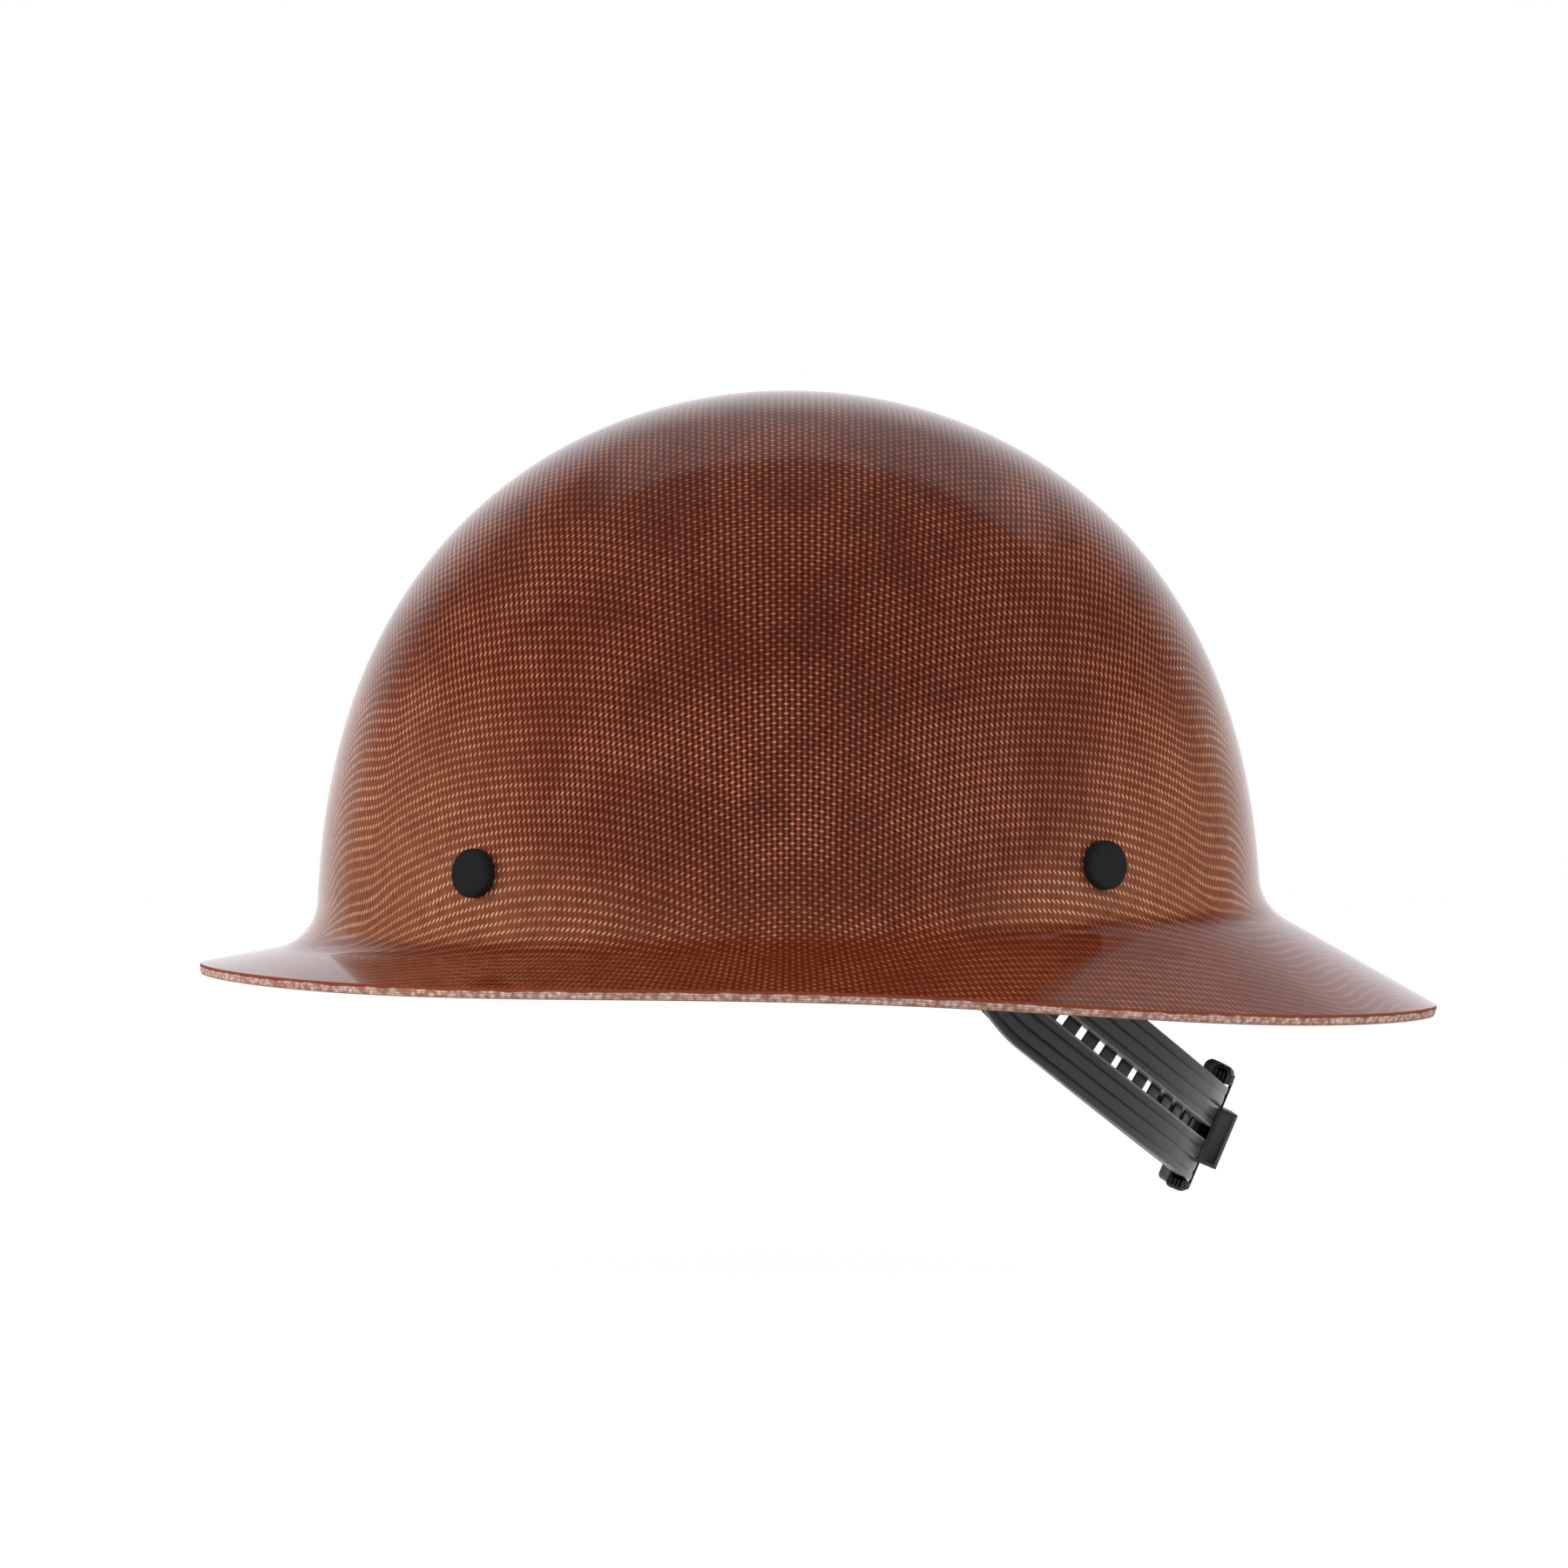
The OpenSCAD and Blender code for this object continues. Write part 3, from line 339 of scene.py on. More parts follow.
def cut_edge(r, c):
    """Sawn edge of the laminate: pale frayed layers with dark resin lines, cut threads, a torn upper rim and a painted
    shade along the lower rim.
    """
    level = r.axes(r.value("Attribute", "Vector", attribute_name="edge_level"))[0]
    layers = sizes("shell").wall / sizes("cloth").edge_layer
    fray, coarse, threads = r.noise(900, 4.0, 0.7), r.noise(220, 2.0), r.cells(720)
    lines = r.sine((level + coarse * 0.1) * (2 * math.pi * layers))
    base = r.mix(r.smooth(lines, -0.2, 0.95), c.cut, r.mix(0.55, c.cut, c.cut_dark))
    # The fourth entry is painted shade: the edge's lower rim, where the level runs from 0.82 to 0.97, is darkened
    # fully.
    for value, low, high, most, tint in ((fray, 0.42, 0.72, 0.7, c.cut_dark), (threads, 0.35, 0.1, 0.5, c.cut_pale),
                                         (threads, 0.42, 0.75, 0.8, c.cut_deep), (level, 0.82, 0.97, 1.0, c.cut_dark),
                                         (level + (coarse - 0.5) * 0.5, 0.36, 0.22, 1.0, c.cut_torn)):
        base = r.mix(r.smooth(value, low, high, 0.0, most), base, tint)
    r.surface(base, 0.78, r.bump(fray + lines * 0.4, 0.18 * MM, 0.8), Specular_IOR_Level=0.3)


def moulded(r, tint, roughness, grain, gloss):
    """Moulded plastic: a fine spark-eroded grain, faint flow marks and a painted sheen on the grain's tops, which are
    lighter in colour.
    """
    fine, broad, flow = r.noise(grain, 2.0, 0.6), r.noise(60), r.noise(90, 2.0, 0.5, (1.0, 0.25, 1.0))
    base = r.mix(r.smooth(broad, 0.3, 0.7, 0.0, 0.45), tint, times(1.5, tint))
    # Painted sheen: the colour is a little lighter on the grain's tops.
    base = r.mix(r.smooth(fine, 0.55, 0.75, 0.0, 0.25), base, times(1.9, tint))
    rough = r.smooth(broad, 0.3, 0.7, roughness - 0.05, roughness + 0.06) + flow * 0.06
    r.surface(base, rough, r.bump(fine, 0.03 * MM, 0.5), Specular_IOR_Level=gloss)


def black_plastic(r, c):
    moulded(r, c.black, 0.5, 2200, 0.45)


def lever_plastic(r, c):
    moulded(r, c.black, 0.40, 2200, 0.62)


def cap_plastic(r, c):
    moulded(r, times(0.55, c.black), 0.62, 1600, 0.3)


def grey_plastic(r, c):
    moulded(r, c.grey, 0.42, 2600, 0.5)


def strap_plastic(r, c):
    """Nape strap: satin nylon drawn along its length, with painted shade in the grooves and on the rungs and a painted
    highlight along the rails' edges.
    """
    s = sizes("strap")
    lie = r.value("UVMap", 0, uv_map="strap")
    off = abs(r.axes(lie)[1])
    drawn, fine, broad = r.noise(1.0, 2.0, 0.5, (40.0, 2600.0, 1.0), lie), r.noise(2600, 2.0, 0.6), r.noise(45)
    groove = r.smooth(r.value("Attribute", "Fac", attribute_name="groove"), 0.3, 0.8, 0.0, 0.8)
    # Masks for the painted highlight along the band's outer edges and along the slot's edges.
    outer = r.smooth(off, s.band / 2 - 0.7 * MM, s.band / 2 - 0.2 * MM, 0.0, 0.15)
    inner = r.smooth(off, s.slot / 2 + 0.7 * MM, s.slot / 2 + 0.3 * MM) * r.smooth(off, 0.5 * MM, 1.2 * MM)
    base = r.mix(r.smooth(broad, 0.3, 0.7, 0.0, 0.35), c.strap, times(1.35, c.strap))
    base = r.mix(r.smooth(drawn, 0.45, 0.75, 0.0, 0.35), base, times(1.7, c.strap))
    # Painted shade in the grooves: the colour is darkened to a fifth along them.
    base = r.mix(groove, base, times(0.2, c.strap))
    # Painted highlight: the colour is raised sevenfold along the slot's edges and a little along the band's outer
    # edges.
    base = r.mix(r.larger(outer, inner), base, times(7, c.strap))
    # Painted shade meant for the rungs: the colour is darkened to 0.15 where the strap UV's across-distance is under
    # 1.2 mm, which takes in the rungs and eyes, whose strap UV is zero, and the band's middle line beyond the slots.
    base = r.mix(r.smooth(off, 0.5 * MM, 1.2 * MM, 0.9, 0.0), base, times(0.15, c.strap))
    r.surface(base, r.smooth(broad, 0.3, 0.7, 0.32, 0.42), r.bump(drawn * 0.7 + fine * 0.5, 0.03 * MM, 0.5),
              Specular_IOR_Level=0.4, Sheen_Weight=0.2, Sheen_Roughness=0.25)


def webbing_cloth(r, c):
    """Woven nylon webbing: ribs across the band, a herringbone of fine threads and closed edges."""
    herringbone, sway, thread = 4.7 * MM, 4.2 * MM, 0.9 * MM
    along, across, _ = r.axes(r.value("UVMap", 0, uv_map="strap"))
    zig = abs(r.maths("FRACT", across * (1 / herringbone)) - 0.5)
    ribs = r.sine((along + zig * sway) * (2 * math.pi / sizes("cloth").webbing_rib))
    threads = r.sine(across * (2 * math.pi / thread))
    fuzz = r.noise(1500, 3.0, 0.7)
    lift = ribs * 0.5 + threads * 0.3
    base = r.mix(r.smooth(lift, -0.4, 0.7), times(0.45, c.webbing), times(1.9, c.webbing))
    base = r.mix(r.smooth(fuzz, 0.4, 0.7, 0.0, 0.5), base, times(2.6, c.webbing))
    r.surface(base, 0.8, r.bump(lift + fuzz * 0.5, 0.12 * MM, 0.9), Sheen_Weight=0.35, Sheen_Roughness=0.4,
              Specular_IOR_Level=0.3)


def pad_cloth(r, c):
    """Brow pad: brushed knit over foam, with a fine loop pattern."""
    loops, fuzz, broad = r.cells(780), r.noise(900, 3.0, 0.7), r.noise(35)
    base = r.mix(r.smooth(loops, 0.15, 0.6), times(1.8, c.pad), times(0.5, c.pad))
    base = r.mix(r.smooth(broad, 0.3, 0.7, 0.0, 0.5), base, c.pad)
    r.surface(base, 0.9, r.bump(fuzz * 0.7 - loops, 0.2 * MM, 0.8), Sheen_Weight=0.5, Sheen_Roughness=0.5,
              Specular_IOR_Level=0.2)


def stitch_thread(r, c):
    """Twisted sewing thread."""
    strand = r.noise(1800, 3.0, 0.6)
    base = r.mix(r.smooth(strand, 0.3, 0.7), c.stitch_dark, c.stitch)
    r.surface(base, 0.7, r.bump(strand, 0.08 * MM, 0.8), Sheen_Weight=0.3)


def fibre_board(r, c):
    """Vulcanised fibre of the washers: mottled, with short fibres."""
    fibres = r.noise(500, 4.0, 0.7, (1.0, 3.0, 1.0))
    base = r.mix(r.smooth(fibres, 0.35, 0.65), c.fibre, times(0.6, c.fibre))
    r.surface(base, 0.7, r.bump(fibres, 0.08 * MM, 0.6))


def drawn_steel(r, c):
    """Drawn steel of the lever's pin, with lines round it."""
    lines = r.noise(800, 2.0, 0.5, (1.0, 1.0, 6.0))
    base = r.mix(r.smooth(lines, 0.3, 0.7), c.steel, times(0.75, c.steel))
    r.surface(base, r.smooth(lines, 0.3, 0.7, 0.22, 0.36), r.bump(lines, 0.01 * MM, 0.4), Metallic=1.0)


def finish(recipe):
    """A recipe's material, made once. Its name differs from the frame's own plain materials, some of which share it."""
    name = recipe.__name__ + "_finish"
    if name not in bpy.data.materials:
        recipe(Tree(bpy.data.materials.new(name)), sizes("colours"))
    return bpy.data.materials[name]


# ---- Mesh helpers ----

def added(operator, name, **options):
    """A primitive from bpy.ops, alone in the selection, with its place moved into its mesh."""
    bpy.ops.object.select_all(action="DESELECT")
    operator(**options)
    piece = bpy.context.object
    piece.name = piece.data.name = name
    bpy.ops.object.transform_apply(location=True, rotation=True, scale=True)
    return piece


def alone(piece):
    bpy.ops.object.select_all(action="DESELECT")
    piece.select_set(True)
    bpy.context.view_layer.objects.active = piece


def edited(piece, *steps):
    """Runs the steps in edit mode with the whole mesh selected."""
    alone(piece)
    bpy.ops.object.mode_set(mode="EDIT")
    bpy.ops.mesh.select_all(action="SELECT")
    for step in steps:
        step()
    bpy.ops.object.mode_set(mode="OBJECT")


def merge(distance=0.002 * MM):
    bpy.ops.mesh.remove_doubles(threshold=distance)


def outwards():
    bpy.ops.mesh.normals_make_consistent(inside=False)


def bevelled(piece, kind, test, **options):
    """Bevels the faces or the edges that pass a test."""
    chosen = [part.index for part in getattr(piece.data, kind) if test(part)]
    edited(piece, lambda: bpy.ops.mesh.select_all(action="DESELECT"))
    for k in chosen:
        getattr(piece.data, kind)[k].select = True
    bpy.ops.object.mode_set(mode="EDIT")
    if kind == "edges":
        bpy.ops.mesh.select_mode(type="EDGE")
    bpy.ops.mesh.bevel(affect="EDGES", **options)
    bpy.ops.object.mode_set(mode="OBJECT")


def applied(piece, kind, **settings):
    """Adds a modifier, sets it and applies it."""
    alone(piece)
    modifier = piece.modifiers.new(kind.lower(), kind)
    for key, value in settings.items():
        setattr(modifier, key, value)
    bpy.ops.object.modifier_apply(modifier=modifier.name)


def rounded(piece, width, segments=2, limit=35):
    applied(piece, "BEVEL", width=width, segments=segments, limit_method="ANGLE", angle_limit=math.radians(limit))


def joined(name, pieces):
    alone(pieces[0])
    for piece in pieces:
        piece.select_set(True)
    bpy.ops.object.join()
    pieces[0].name = pieces[0].data.name = name
    return pieces[0]


def linked(name, data):
    """A new object in the scene."""
    made = bpy.data.objects.new(name, data)
    bpy.context.scene.collection.objects.link(made)
    return made


def twin(name, mesh):
    """A new piece with a copy of a mesh."""
    piece = linked(name, mesh.copy())
    piece.data.name = name
    return piece


def copied(piece, places):
    """Copies of a piece, each with its own mesh moved by a matrix. The piece itself is removed."""
    twins = []
    for matrix in places:
        twins.append(twin(piece.name, piece.data))
        twins[-1].data.transform(matrix)
        if matrix.determinant() < 0:
            twins[-1].data.flip_normals()
    bpy.data.objects.remove(piece)
    return twins


def set_places(piece, places):
    piece.data.vertices.foreach_set("co", np.asarray(places, np.float32).ravel())
    piece.data.update()


def places_of(piece):
    found = np.zeros(3 * len(piece.data.vertices), np.float32)
    piece.data.vertices.foreach_get("co", found)
    return found.reshape(-1, 3).astype(float)


def dressed(piece, body, recipes, node, smooth=35):
    """Gives a finished piece its materials and smooth shading, parents it to its body and hides the CAD node that it
    stands for. A piece without a body is left unparented."""
    for k, recipe in enumerate(recipes):
        if k < len(piece.data.materials):
            piece.data.materials[k] = finish(recipe)
        else:
            piece.data.materials.append(finish(recipe))
    alone(piece)
    bpy.ops.object.shade_smooth_by_angle(angle=math.radians(smooth))
    if body:
        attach(piece, body)
    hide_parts(node)


def softened(node, name, body, recipe, width, segments=2):
    """A copy of a moulded CAD node with its edges rounded as a mould leaves them."""
    piece = twin(name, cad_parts[node].data)
    piece.data.materials.clear()
    edited(piece, lambda: merge(0.001 * MM), lambda: bpy.ops.mesh.dissolve_limited(angle_limit=math.radians(0.4)))
    rounded(piece, width, segments)
    dressed(piece, body, [recipe], node)


def grid(name, columns, rows):
    """A flat grid with its (column, row) index for each vertex."""
    piece = added(bpy.ops.mesh.primitive_grid_add, name, x_subdivisions=columns, y_subdivisions=rows, size=1)
    flat = places_of(piece)
    index = np.rint((flat[:, :2] + 0.5) * [columns, rows]).astype(int)
    if len(flat) != (columns + 1) * (rows + 1):
        raise RuntimeError(f"{name}: the grid has {len(flat)} points")
    return piece, index[:, 0], index[:, 1]


def capped(piece):
    """Joins the seam of a rolled-up grid and closes its open ends."""
    edited(piece, merge, outwards)
    edited(piece, lambda: bpy.ops.mesh.select_mode(type="VERT"),
           lambda: bpy.ops.mesh.select_all(action="DESELECT"),
           bpy.ops.mesh.select_non_manifold,
           bpy.ops.mesh.edge_face_add,
           lambda: bpy.ops.mesh.select_all(action="SELECT"),
           outwards)


def set_attribute(piece, name, values):
    layer = piece.data.attributes.new(name, "FLOAT", "POINT")
    layer.data.foreach_set("value", np.asarray(values, np.float32))


def set_uv(piece, name, values):
    """The piece's only UV map, from a value for each vertex."""
    for layer in list(piece.data.uv_layers):
        piece.data.uv_layers.remove(layer)
    loops = np.zeros(len(piece.data.loops), np.int32)
    piece.data.loops.foreach_get("vertex_index", loops)
    layer = piece.data.uv_layers.new(name=name)
    layer.data.foreach_set("uv", np.asarray(values, np.float32)[loops].ravel())


def matrix_of(x, y, z, place):
    """The matrix that takes the axes to three directions at a place."""
    return Matrix.Translation(place) @ Matrix((x, y, z)).transposed().to_4x4()


def ease(value, low, high):
    """0 at low, 1 at high and an eased step between."""
    t = np.clip((value - low) / (high - low), 0, 1)
    return t * t * (3 - 2 * t)


# ---- The shell's form ----

def oval(turn, half_length, half_width):
    """Distance from an oval's middle to its edge."""
    return half_length * half_width / math.hypot(half_length * math.cos(turn), half_width * math.sin(turn))


def share_at(height):
    """The crown's width at a height, as a share of its width at the base."""
    s = sizes("shell")
    return max(0.0, 1 - (max(height, 0) / s.crown_height) ** s.shoulder) ** (1 / s.roundness)


def brim_slope(turn):
    """The brim's slope at an angle round, through its five given slopes."""
    s = sizes("shell")
    ends = (s.slope_rear + s.slope_front) / 2
    quarters = (s.slope_rear_quarter + s.slope_front_quarter) / 2
    lift = (s.slope_rear - s.slope_front) / 2
    twist = (s.slope_rear_quarter - s.slope_front_quarter) / 2 * math.sqrt(2)
    level = (s.slope_side + ends) / 2
    return ((level + quarters) / 2 + (lift + twist) / 2 * math.sin(turn)
            + (s.slope_side - ends) / 2 * math.cos(2 * turn) + (twist - lift) / 2 * math.sin(3 * turn)
            + (level - quarters) / 2 * math.cos(4 * turn))


def brim_base(turn):
    """The height at which the brim meets the wall, at an angle round."""
    s = sizes("shell")
    half = (s.base_rear - s.base_front) / 2
    mean = (s.base_rear + s.base_front) / 2
    return s.base_side + half * math.sin(turn) + (mean - s.base_side) * math.sin(turn) ** 2


def meridian(turn, inset, dome_rows, hollow_rows, brim_rows):
    """Distance from the middle and height, from the crown's top to the brim's edge, at one angle round."""
    s = sizes("shell")
    a, b = s.crown_length / 2, s.crown_width / 2
    slope, base, hollow = brim_slope(turn), brim_base(turn), s.brim_fillet
    start = base + hollow * (1 - math.sin(slope)) / math.cos(slope)
    wall = oval(turn, a, b) * share_at(start)
    full = oval(turn, a - inset, b - inset)
    top = s.crown_height - inset
    bend = hollow + inset
    near = wall + hollow - bend * math.sin(slope)
    over = s.brim_rear if math.sin(turn) > 0 else s.brim_front
    far = oval(turn, a + over, b + s.brim_side) - 0.5 * inset * math.sin(slope)
    v = np.linspace(0, math.acos((start / top) ** (s.shoulder / 2)), dome_rows + 1)
    w = np.linspace(0, math.pi / 2 - slope, hollow_rows + 1)[1:]
    r = near + (far - near) * np.linspace(0, 1, brim_rows + 1)[1:]
    out = np.concatenate([full * np.sin(v) ** (2 / s.roundness), wall + hollow - bend * np.cos(w), r])
    up = np.concatenate([top * np.cos(v) ** (2 / s.shoulder), start - bend * np.sin(w),
                         base - inset / math.cos(slope) - math.tan(slope) * (r - wall)])
    return np.stack([out, up], 1)


def run_length(line):
    """How far along a line of points each one lies."""
    return np.concatenate([[0], np.cumsum(np.linalg.norm(np.diff(line, axis=0), axis=1))])


def brim_share(run, rows):
    """0 on the crown and 1 on the brim, along a meridian."""
    return ease(run, run[rows[0]], run[rows[0] + rows[1]])


def cloth_lie(places, down, turn, wall_run, wall_foot, side):
    """Distances along the warp and the weft for points of the shell. The warp lies as on a ball; the weft runs straight
    over the top, and bows downwards from the middle of each side to the quarters."""
    s, c = sizes("shell"), sizes("cloth")
    lie = np.arctan2(np.sin(turn) / s.crown_length, np.cos(turn) / s.crown_width)
    ahead, aside = np.sin(lie), np.cos(lie)
    near = np.minimum(down, wall_run)
    fall = near / wall_run * c.drape
    cross = np.sin(fall) * ahead
    pace = np.cos(fall) * ahead / np.sqrt(1 - cross ** 2)
    warp = wall_run.max() / c.drape * (np.arcsin(cross) + pace * (down - near) * c.drape / wall_run)
    over = near * aside
    # The bow fades towards the crown's top and the middle in front and behind, where its crowding is held back too
    high, low, centre, quarter, crowd, flare = 147 * MM, 60 * MM, 0.998, 0.84, 35 * MM, 0.35
    height = np.maximum(places[:, 2], wall_foot)
    bowed = np.interp(-height, -side[:, 1], run_length(side)) - places[:, 1] ** 2 / (2 * c.bow)
    share = ease(height, high, low) * ease(np.abs(ahead), centre, quarter)
    gap = bowed - np.abs(over)
    gap = share * gap / (1 + np.abs(gap) / crowd)
    weft = over + (gap + (down - near) * np.abs(aside) ** flare) * np.sign(aside)
    return np.stack([warp, weft], 1)


def rivet_matrix(side, end):
    """Place of a rivet: Z runs outwards along its axis from the shell's outer face."""
    s = sizes("shell")
    a, b = s.crown_length / 2, s.crown_width / 2
    cos, sin = math.cos(s.rivet_turn), math.sin(s.rivet_turn)
    reach = math.hypot(b * cos, a * sin)
    shift = (a * a - b * b) * sin * cos / reach
    height = s.rivet_rear if end > 0 else s.rivet_front
    share = share_at(height)
    tilt = math.atan(reach * (share_at(height - MM) - share_at(height + MM)) / (2 * MM))
    local = (Matrix.Rotation(s.rivet_turn, 4, "Z")
             @ Matrix.Translation((reach * share, shift * share, height))
             @ Matrix.Rotation(math.pi / 2 - tilt, 4, "Y"))
    return Matrix.Diagonal((side, end, 1, 1)) @ local


class HAT_OT_shell(bpy.types.Operator):
    """Laminate shell: crown, brim and cut edge in one closed mesh with its cloth laid over it"""
    bl_idname = "hat.shell"
    bl_label = "Laminate shell"

    def execute(self, context):
        s, cloth = sizes("shell"), sizes("cloth")
        around, edge_rows = 256, 6
        outer_rows, inner_rows = (64, 12, 18), (32, 8, 8)    # of the dome, the hollow and the brim
        turns = 2 * math.pi * np.arange(around + 1) / around
        t = np.linspace(0, 1, edge_rows + 1)[1:-1]
        bow = np.stack([np.sin(math.pi * t) ** 0.5 * 0.18 * MM, 0 * t], 1)
        sheet = []
        for turn in turns:
            outer = meridian(turn, 0, *outer_rows)
            inner = meridian(turn, s.wall, *inner_rows)[::-1]
            edge = outer[-1] * (1 - t[:, None]) + inner[0] * t[:, None] + bow
            down, back = run_length(outer), run_length(inner[::-1])
            sheet.append(np.column_stack([
                np.concatenate([outer, edge, inner]),
                np.concatenate([down, down[-1] + t * s.wall, back[::-1]]),
                np.concatenate([0 * down, t, 1 + 0 * back]),
                np.concatenate([brim_share(down, outer_rows), 1 + 0 * t, brim_share(back, inner_rows)[::-1]])]))
        sheet = np.array(sheet)
        piece, i, j = grid("laminate_shell", around, sheet.shape[1] - 1)
        i = around - i
        turn, wall = turns[i], outer_rows[0]
        out, up, down, level, brim = sheet[i, j].T
        places = np.stack([out * np.cos(turn), out * np.sin(turn), up], 1)
        set_places(piece, places)
        lie = cloth_lie(places, down, turn, sheet[i, wall, 2], sheet[i, wall, 1], sheet[0, :wall + 1, :2])
        set_uv(piece, "cloth", lie / [cloth.warp_pitch, cloth.weft_pitch])
        set_attribute(piece, "edge_level", level)
        set_attribute(piece, "brim_share", brim)
        first = sum(outer_rows)
        for face in piece.data.polygons:
            face.material_index = int(first <= min(j[v] for v in face.vertices) < first + edge_rows)
        edited(piece, merge, outwards)
        dressed(piece, "shell_body", [cloth_laminate, cut_edge], "shell", 40)
        return {"FINISHED"}


class HAT_OT_rivets(bpy.types.Operator):
    """Four rivets: a domed cap outside, a shank and a clinched end inside"""
    bl_idname = "hat.rivets"
    bl_label = "Rivets"

    def execute(self, context):
        rear = rivet_matrix(1, 1).inverted()
        ends = [(rear @ v.co).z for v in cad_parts["rivets"].data.vertices if v.co.x > 0 and v.co.y > 0]
        cap, shank, clinch = (
            added(bpy.ops.mesh.primitive_cylinder_add, name, vertices=vertices, radius=radius * MM, depth=depth * MM,
                  location=(0, 0, middle))
            for name, vertices, radius, depth, middle in (
                ("rivet_cap", 72, 6, 2.9, 1.55 * MM), ("shank", 40, 2.4, 8, -3.5 * MM),
                ("clinch", 48, 4, 1.2, min(ends) + 0.6 * MM)))
        bevelled(cap, "polygons", lambda face: face.normal.z > 0.9, offset=1.25 * MM, segments=6)
        bevelled(cap, "edges", lambda edge: all(cap.data.vertices[v].co.z < 0.2 * MM for v in edge.vertices),
                 offset=0.25 * MM, segments=2)
        rounded(clinch, 0.35 * MM, 3)
        model = joined("rivets_moulded", [cap, shank, clinch])
        piece = joined("rivets_moulded", copied(model, [rivet_matrix(x, y) for x in (1, -1) for y in (1, -1)]))
        dressed(piece, "shell_body", [cap_plastic], "rivets", 40)
        return {"FINISHED"}


# ---- The nape strap and its lock ----

def strap_matrix():
    """Takes the strap's own frame, level and with the pivots in its middle, to its place on the hat."""
    s = sizes("strap")
    return Matrix.Translation((0, s.pivot_back, s.pivot_height)) @ Matrix.Rotation(-s.slope, 4, "X")


def strap_frame(q):
    """Middle, outward and upward directions, and half width of the strap at an angle round from a pivot."""
    s = sizes("strap")
    middle = Vector((s.half * math.cos(q), s.reach * math.sin(q), 0))
    plan = Vector((math.cos(q) / s.half, math.sin(q) / s.reach, 0)).normalized()
    lean = s.lean * math.sin(q)
    out = plan * math.cos(lean) + UP * math.sin(lean)
    up = UP * math.cos(lean) - plan * math.sin(lean)
    widened = float(ease(s.reach * math.sin(q), 17 * MM, 48 * MM))
    return middle, out, up, s.arm / 2 + (s.band - s.arm) / 2 * widened


def strap_place(q, off=0.0):
    """The matrix of a place on the strap: X along it, Y outwards and Z up."""
    middle, out, up, _ = strap_frame(q)
    return matrix_of(out.cross(up), out, up, middle + out * off)


def railed_band(name, last, layer, slots):
    """A band with grooved rails: a grid laid along the strap up to an angle in degrees, on the outer layer (1) or the
    inner one (-1), with slots taken out between angles, thickened and edge-rounded."""
    s = sizes("strap")
    rail, along, lift = 24, int(last * 1.25), 0.9 * MM
    grooves_at, rail_width, groove_width = (0.2, 0.5, 0.8), 11 * MM, 0.42 * MM
    step = last / along
    piece, i, j = grid(name, along, 2 * rail + 2)
    frames = [strap_frame(math.radians(last * k / along)) for k in range(along + 1)]
    lifts = [layer * lift * float(ease(last * k / along, 3, 16)) for k in range(along + 1)]
    places, outs, uvs, grooves = [], [], [], []
    for a, b in zip(i, j):
        middle, out, up, half = frames[a]
        row = b - rail - 1    # 0 is the slot's middle
        share = (abs(row) - 1) / rail
        y = math.copysign(s.slot / 2 + (half - s.slot / 2) * share, row) if row else 0.0
        places.append(middle + lifts[a] * out + up * y)
        outs.append(out)
        uvs.append((s.reach * math.radians(last * a / along), y))
        grooves.append(sum(math.exp(-((share - g) * rail_width / groove_width) ** 2) for g in grooves_at) if row else 0)
    places, outs, grooves = np.array(places), np.array(outs), np.array(grooves)
    set_places(piece, places)
    set_uv(piece, "strap", uvs)
    set_attribute(piece, "groove", grooves)
    set_attribute(piece, "point", np.arange(len(places)))
    mesh = bmesh.new()
    mesh.from_mesh(piece.data)
    gone = []
    for face in mesh.faces:
        q = (min(i[v.index] for v in face.verts) + 0.5) * step
        if min(j[v.index] for v in face.verts) in (rail, rail + 1) and any(low < q < high for low, high in slots):
            gone.append(face)
    bmesh.ops.delete(mesh, geom=gone, context="FACES")
    mesh.to_mesh(piece.data)
    mesh.free()
    applied(piece, "SOLIDIFY", thickness=s.thick, offset=0, use_even_offset=True)
    points = np.zeros(len(piece.data.vertices), np.float32)
    piece.data.attributes["point"].data.foreach_get("value", points)
    at = points.astype(int)
    now = places_of(piece)
    outside = ((now - places[at]) * outs[at]).sum(1) > 0
    set_places(piece, now - outs[at] * (s.groove * grooves[at] * outside)[:, None])
    piece.data.attributes.remove(piece.data.attributes["point"])
    rounded(piece, 0.28 * MM, 2, 55)
    return piece


def rungs():
    """Rungs of the ladder: one ribbed bar, copied along the strap."""
    s = sizes("strap")
    first, inset, end = 6.45 * MM, 1 * MM, math.radians(159)    # past the nape, inwards, and the slot's end
    bar = added(bpy.ops.mesh.primitive_cube_add, "rung", size=1, scale=(s.rung_width, 0.6 * MM, s.slot + 1.8 * MM))
    rounded(bar, 0.12 * MM, 2)

    def moved(q, distance):
        return q + distance / math.hypot(s.half * math.sin(q), s.reach * math.cos(q))

    angles = {0: math.acos(-first / s.half)}
    for k in range(14):
        angles[k + 1] = moved(angles[k], s.rung_pitch)
    for k in range(3):
        angles[-k - 1] = moved(angles[-k], -s.rung_pitch)
    middles = [moved(angles[k], s.rung_pitch / 2) for k in sorted(angles)]
    return copied(bar, [strap_place(q, -inset) for q in middles if q < end])


def strap_eye():
    eye = added(bpy.ops.mesh.primitive_cylinder_add, "eye", vertices=72, radius=9 * MM, depth=2.4 * MM,
                location=(sizes("strap").half - 1.2 * MM, 0, 0), rotation=(0, math.pi / 2, 0))
    rounded(eye, 0.4 * MM, 3)
    return eye


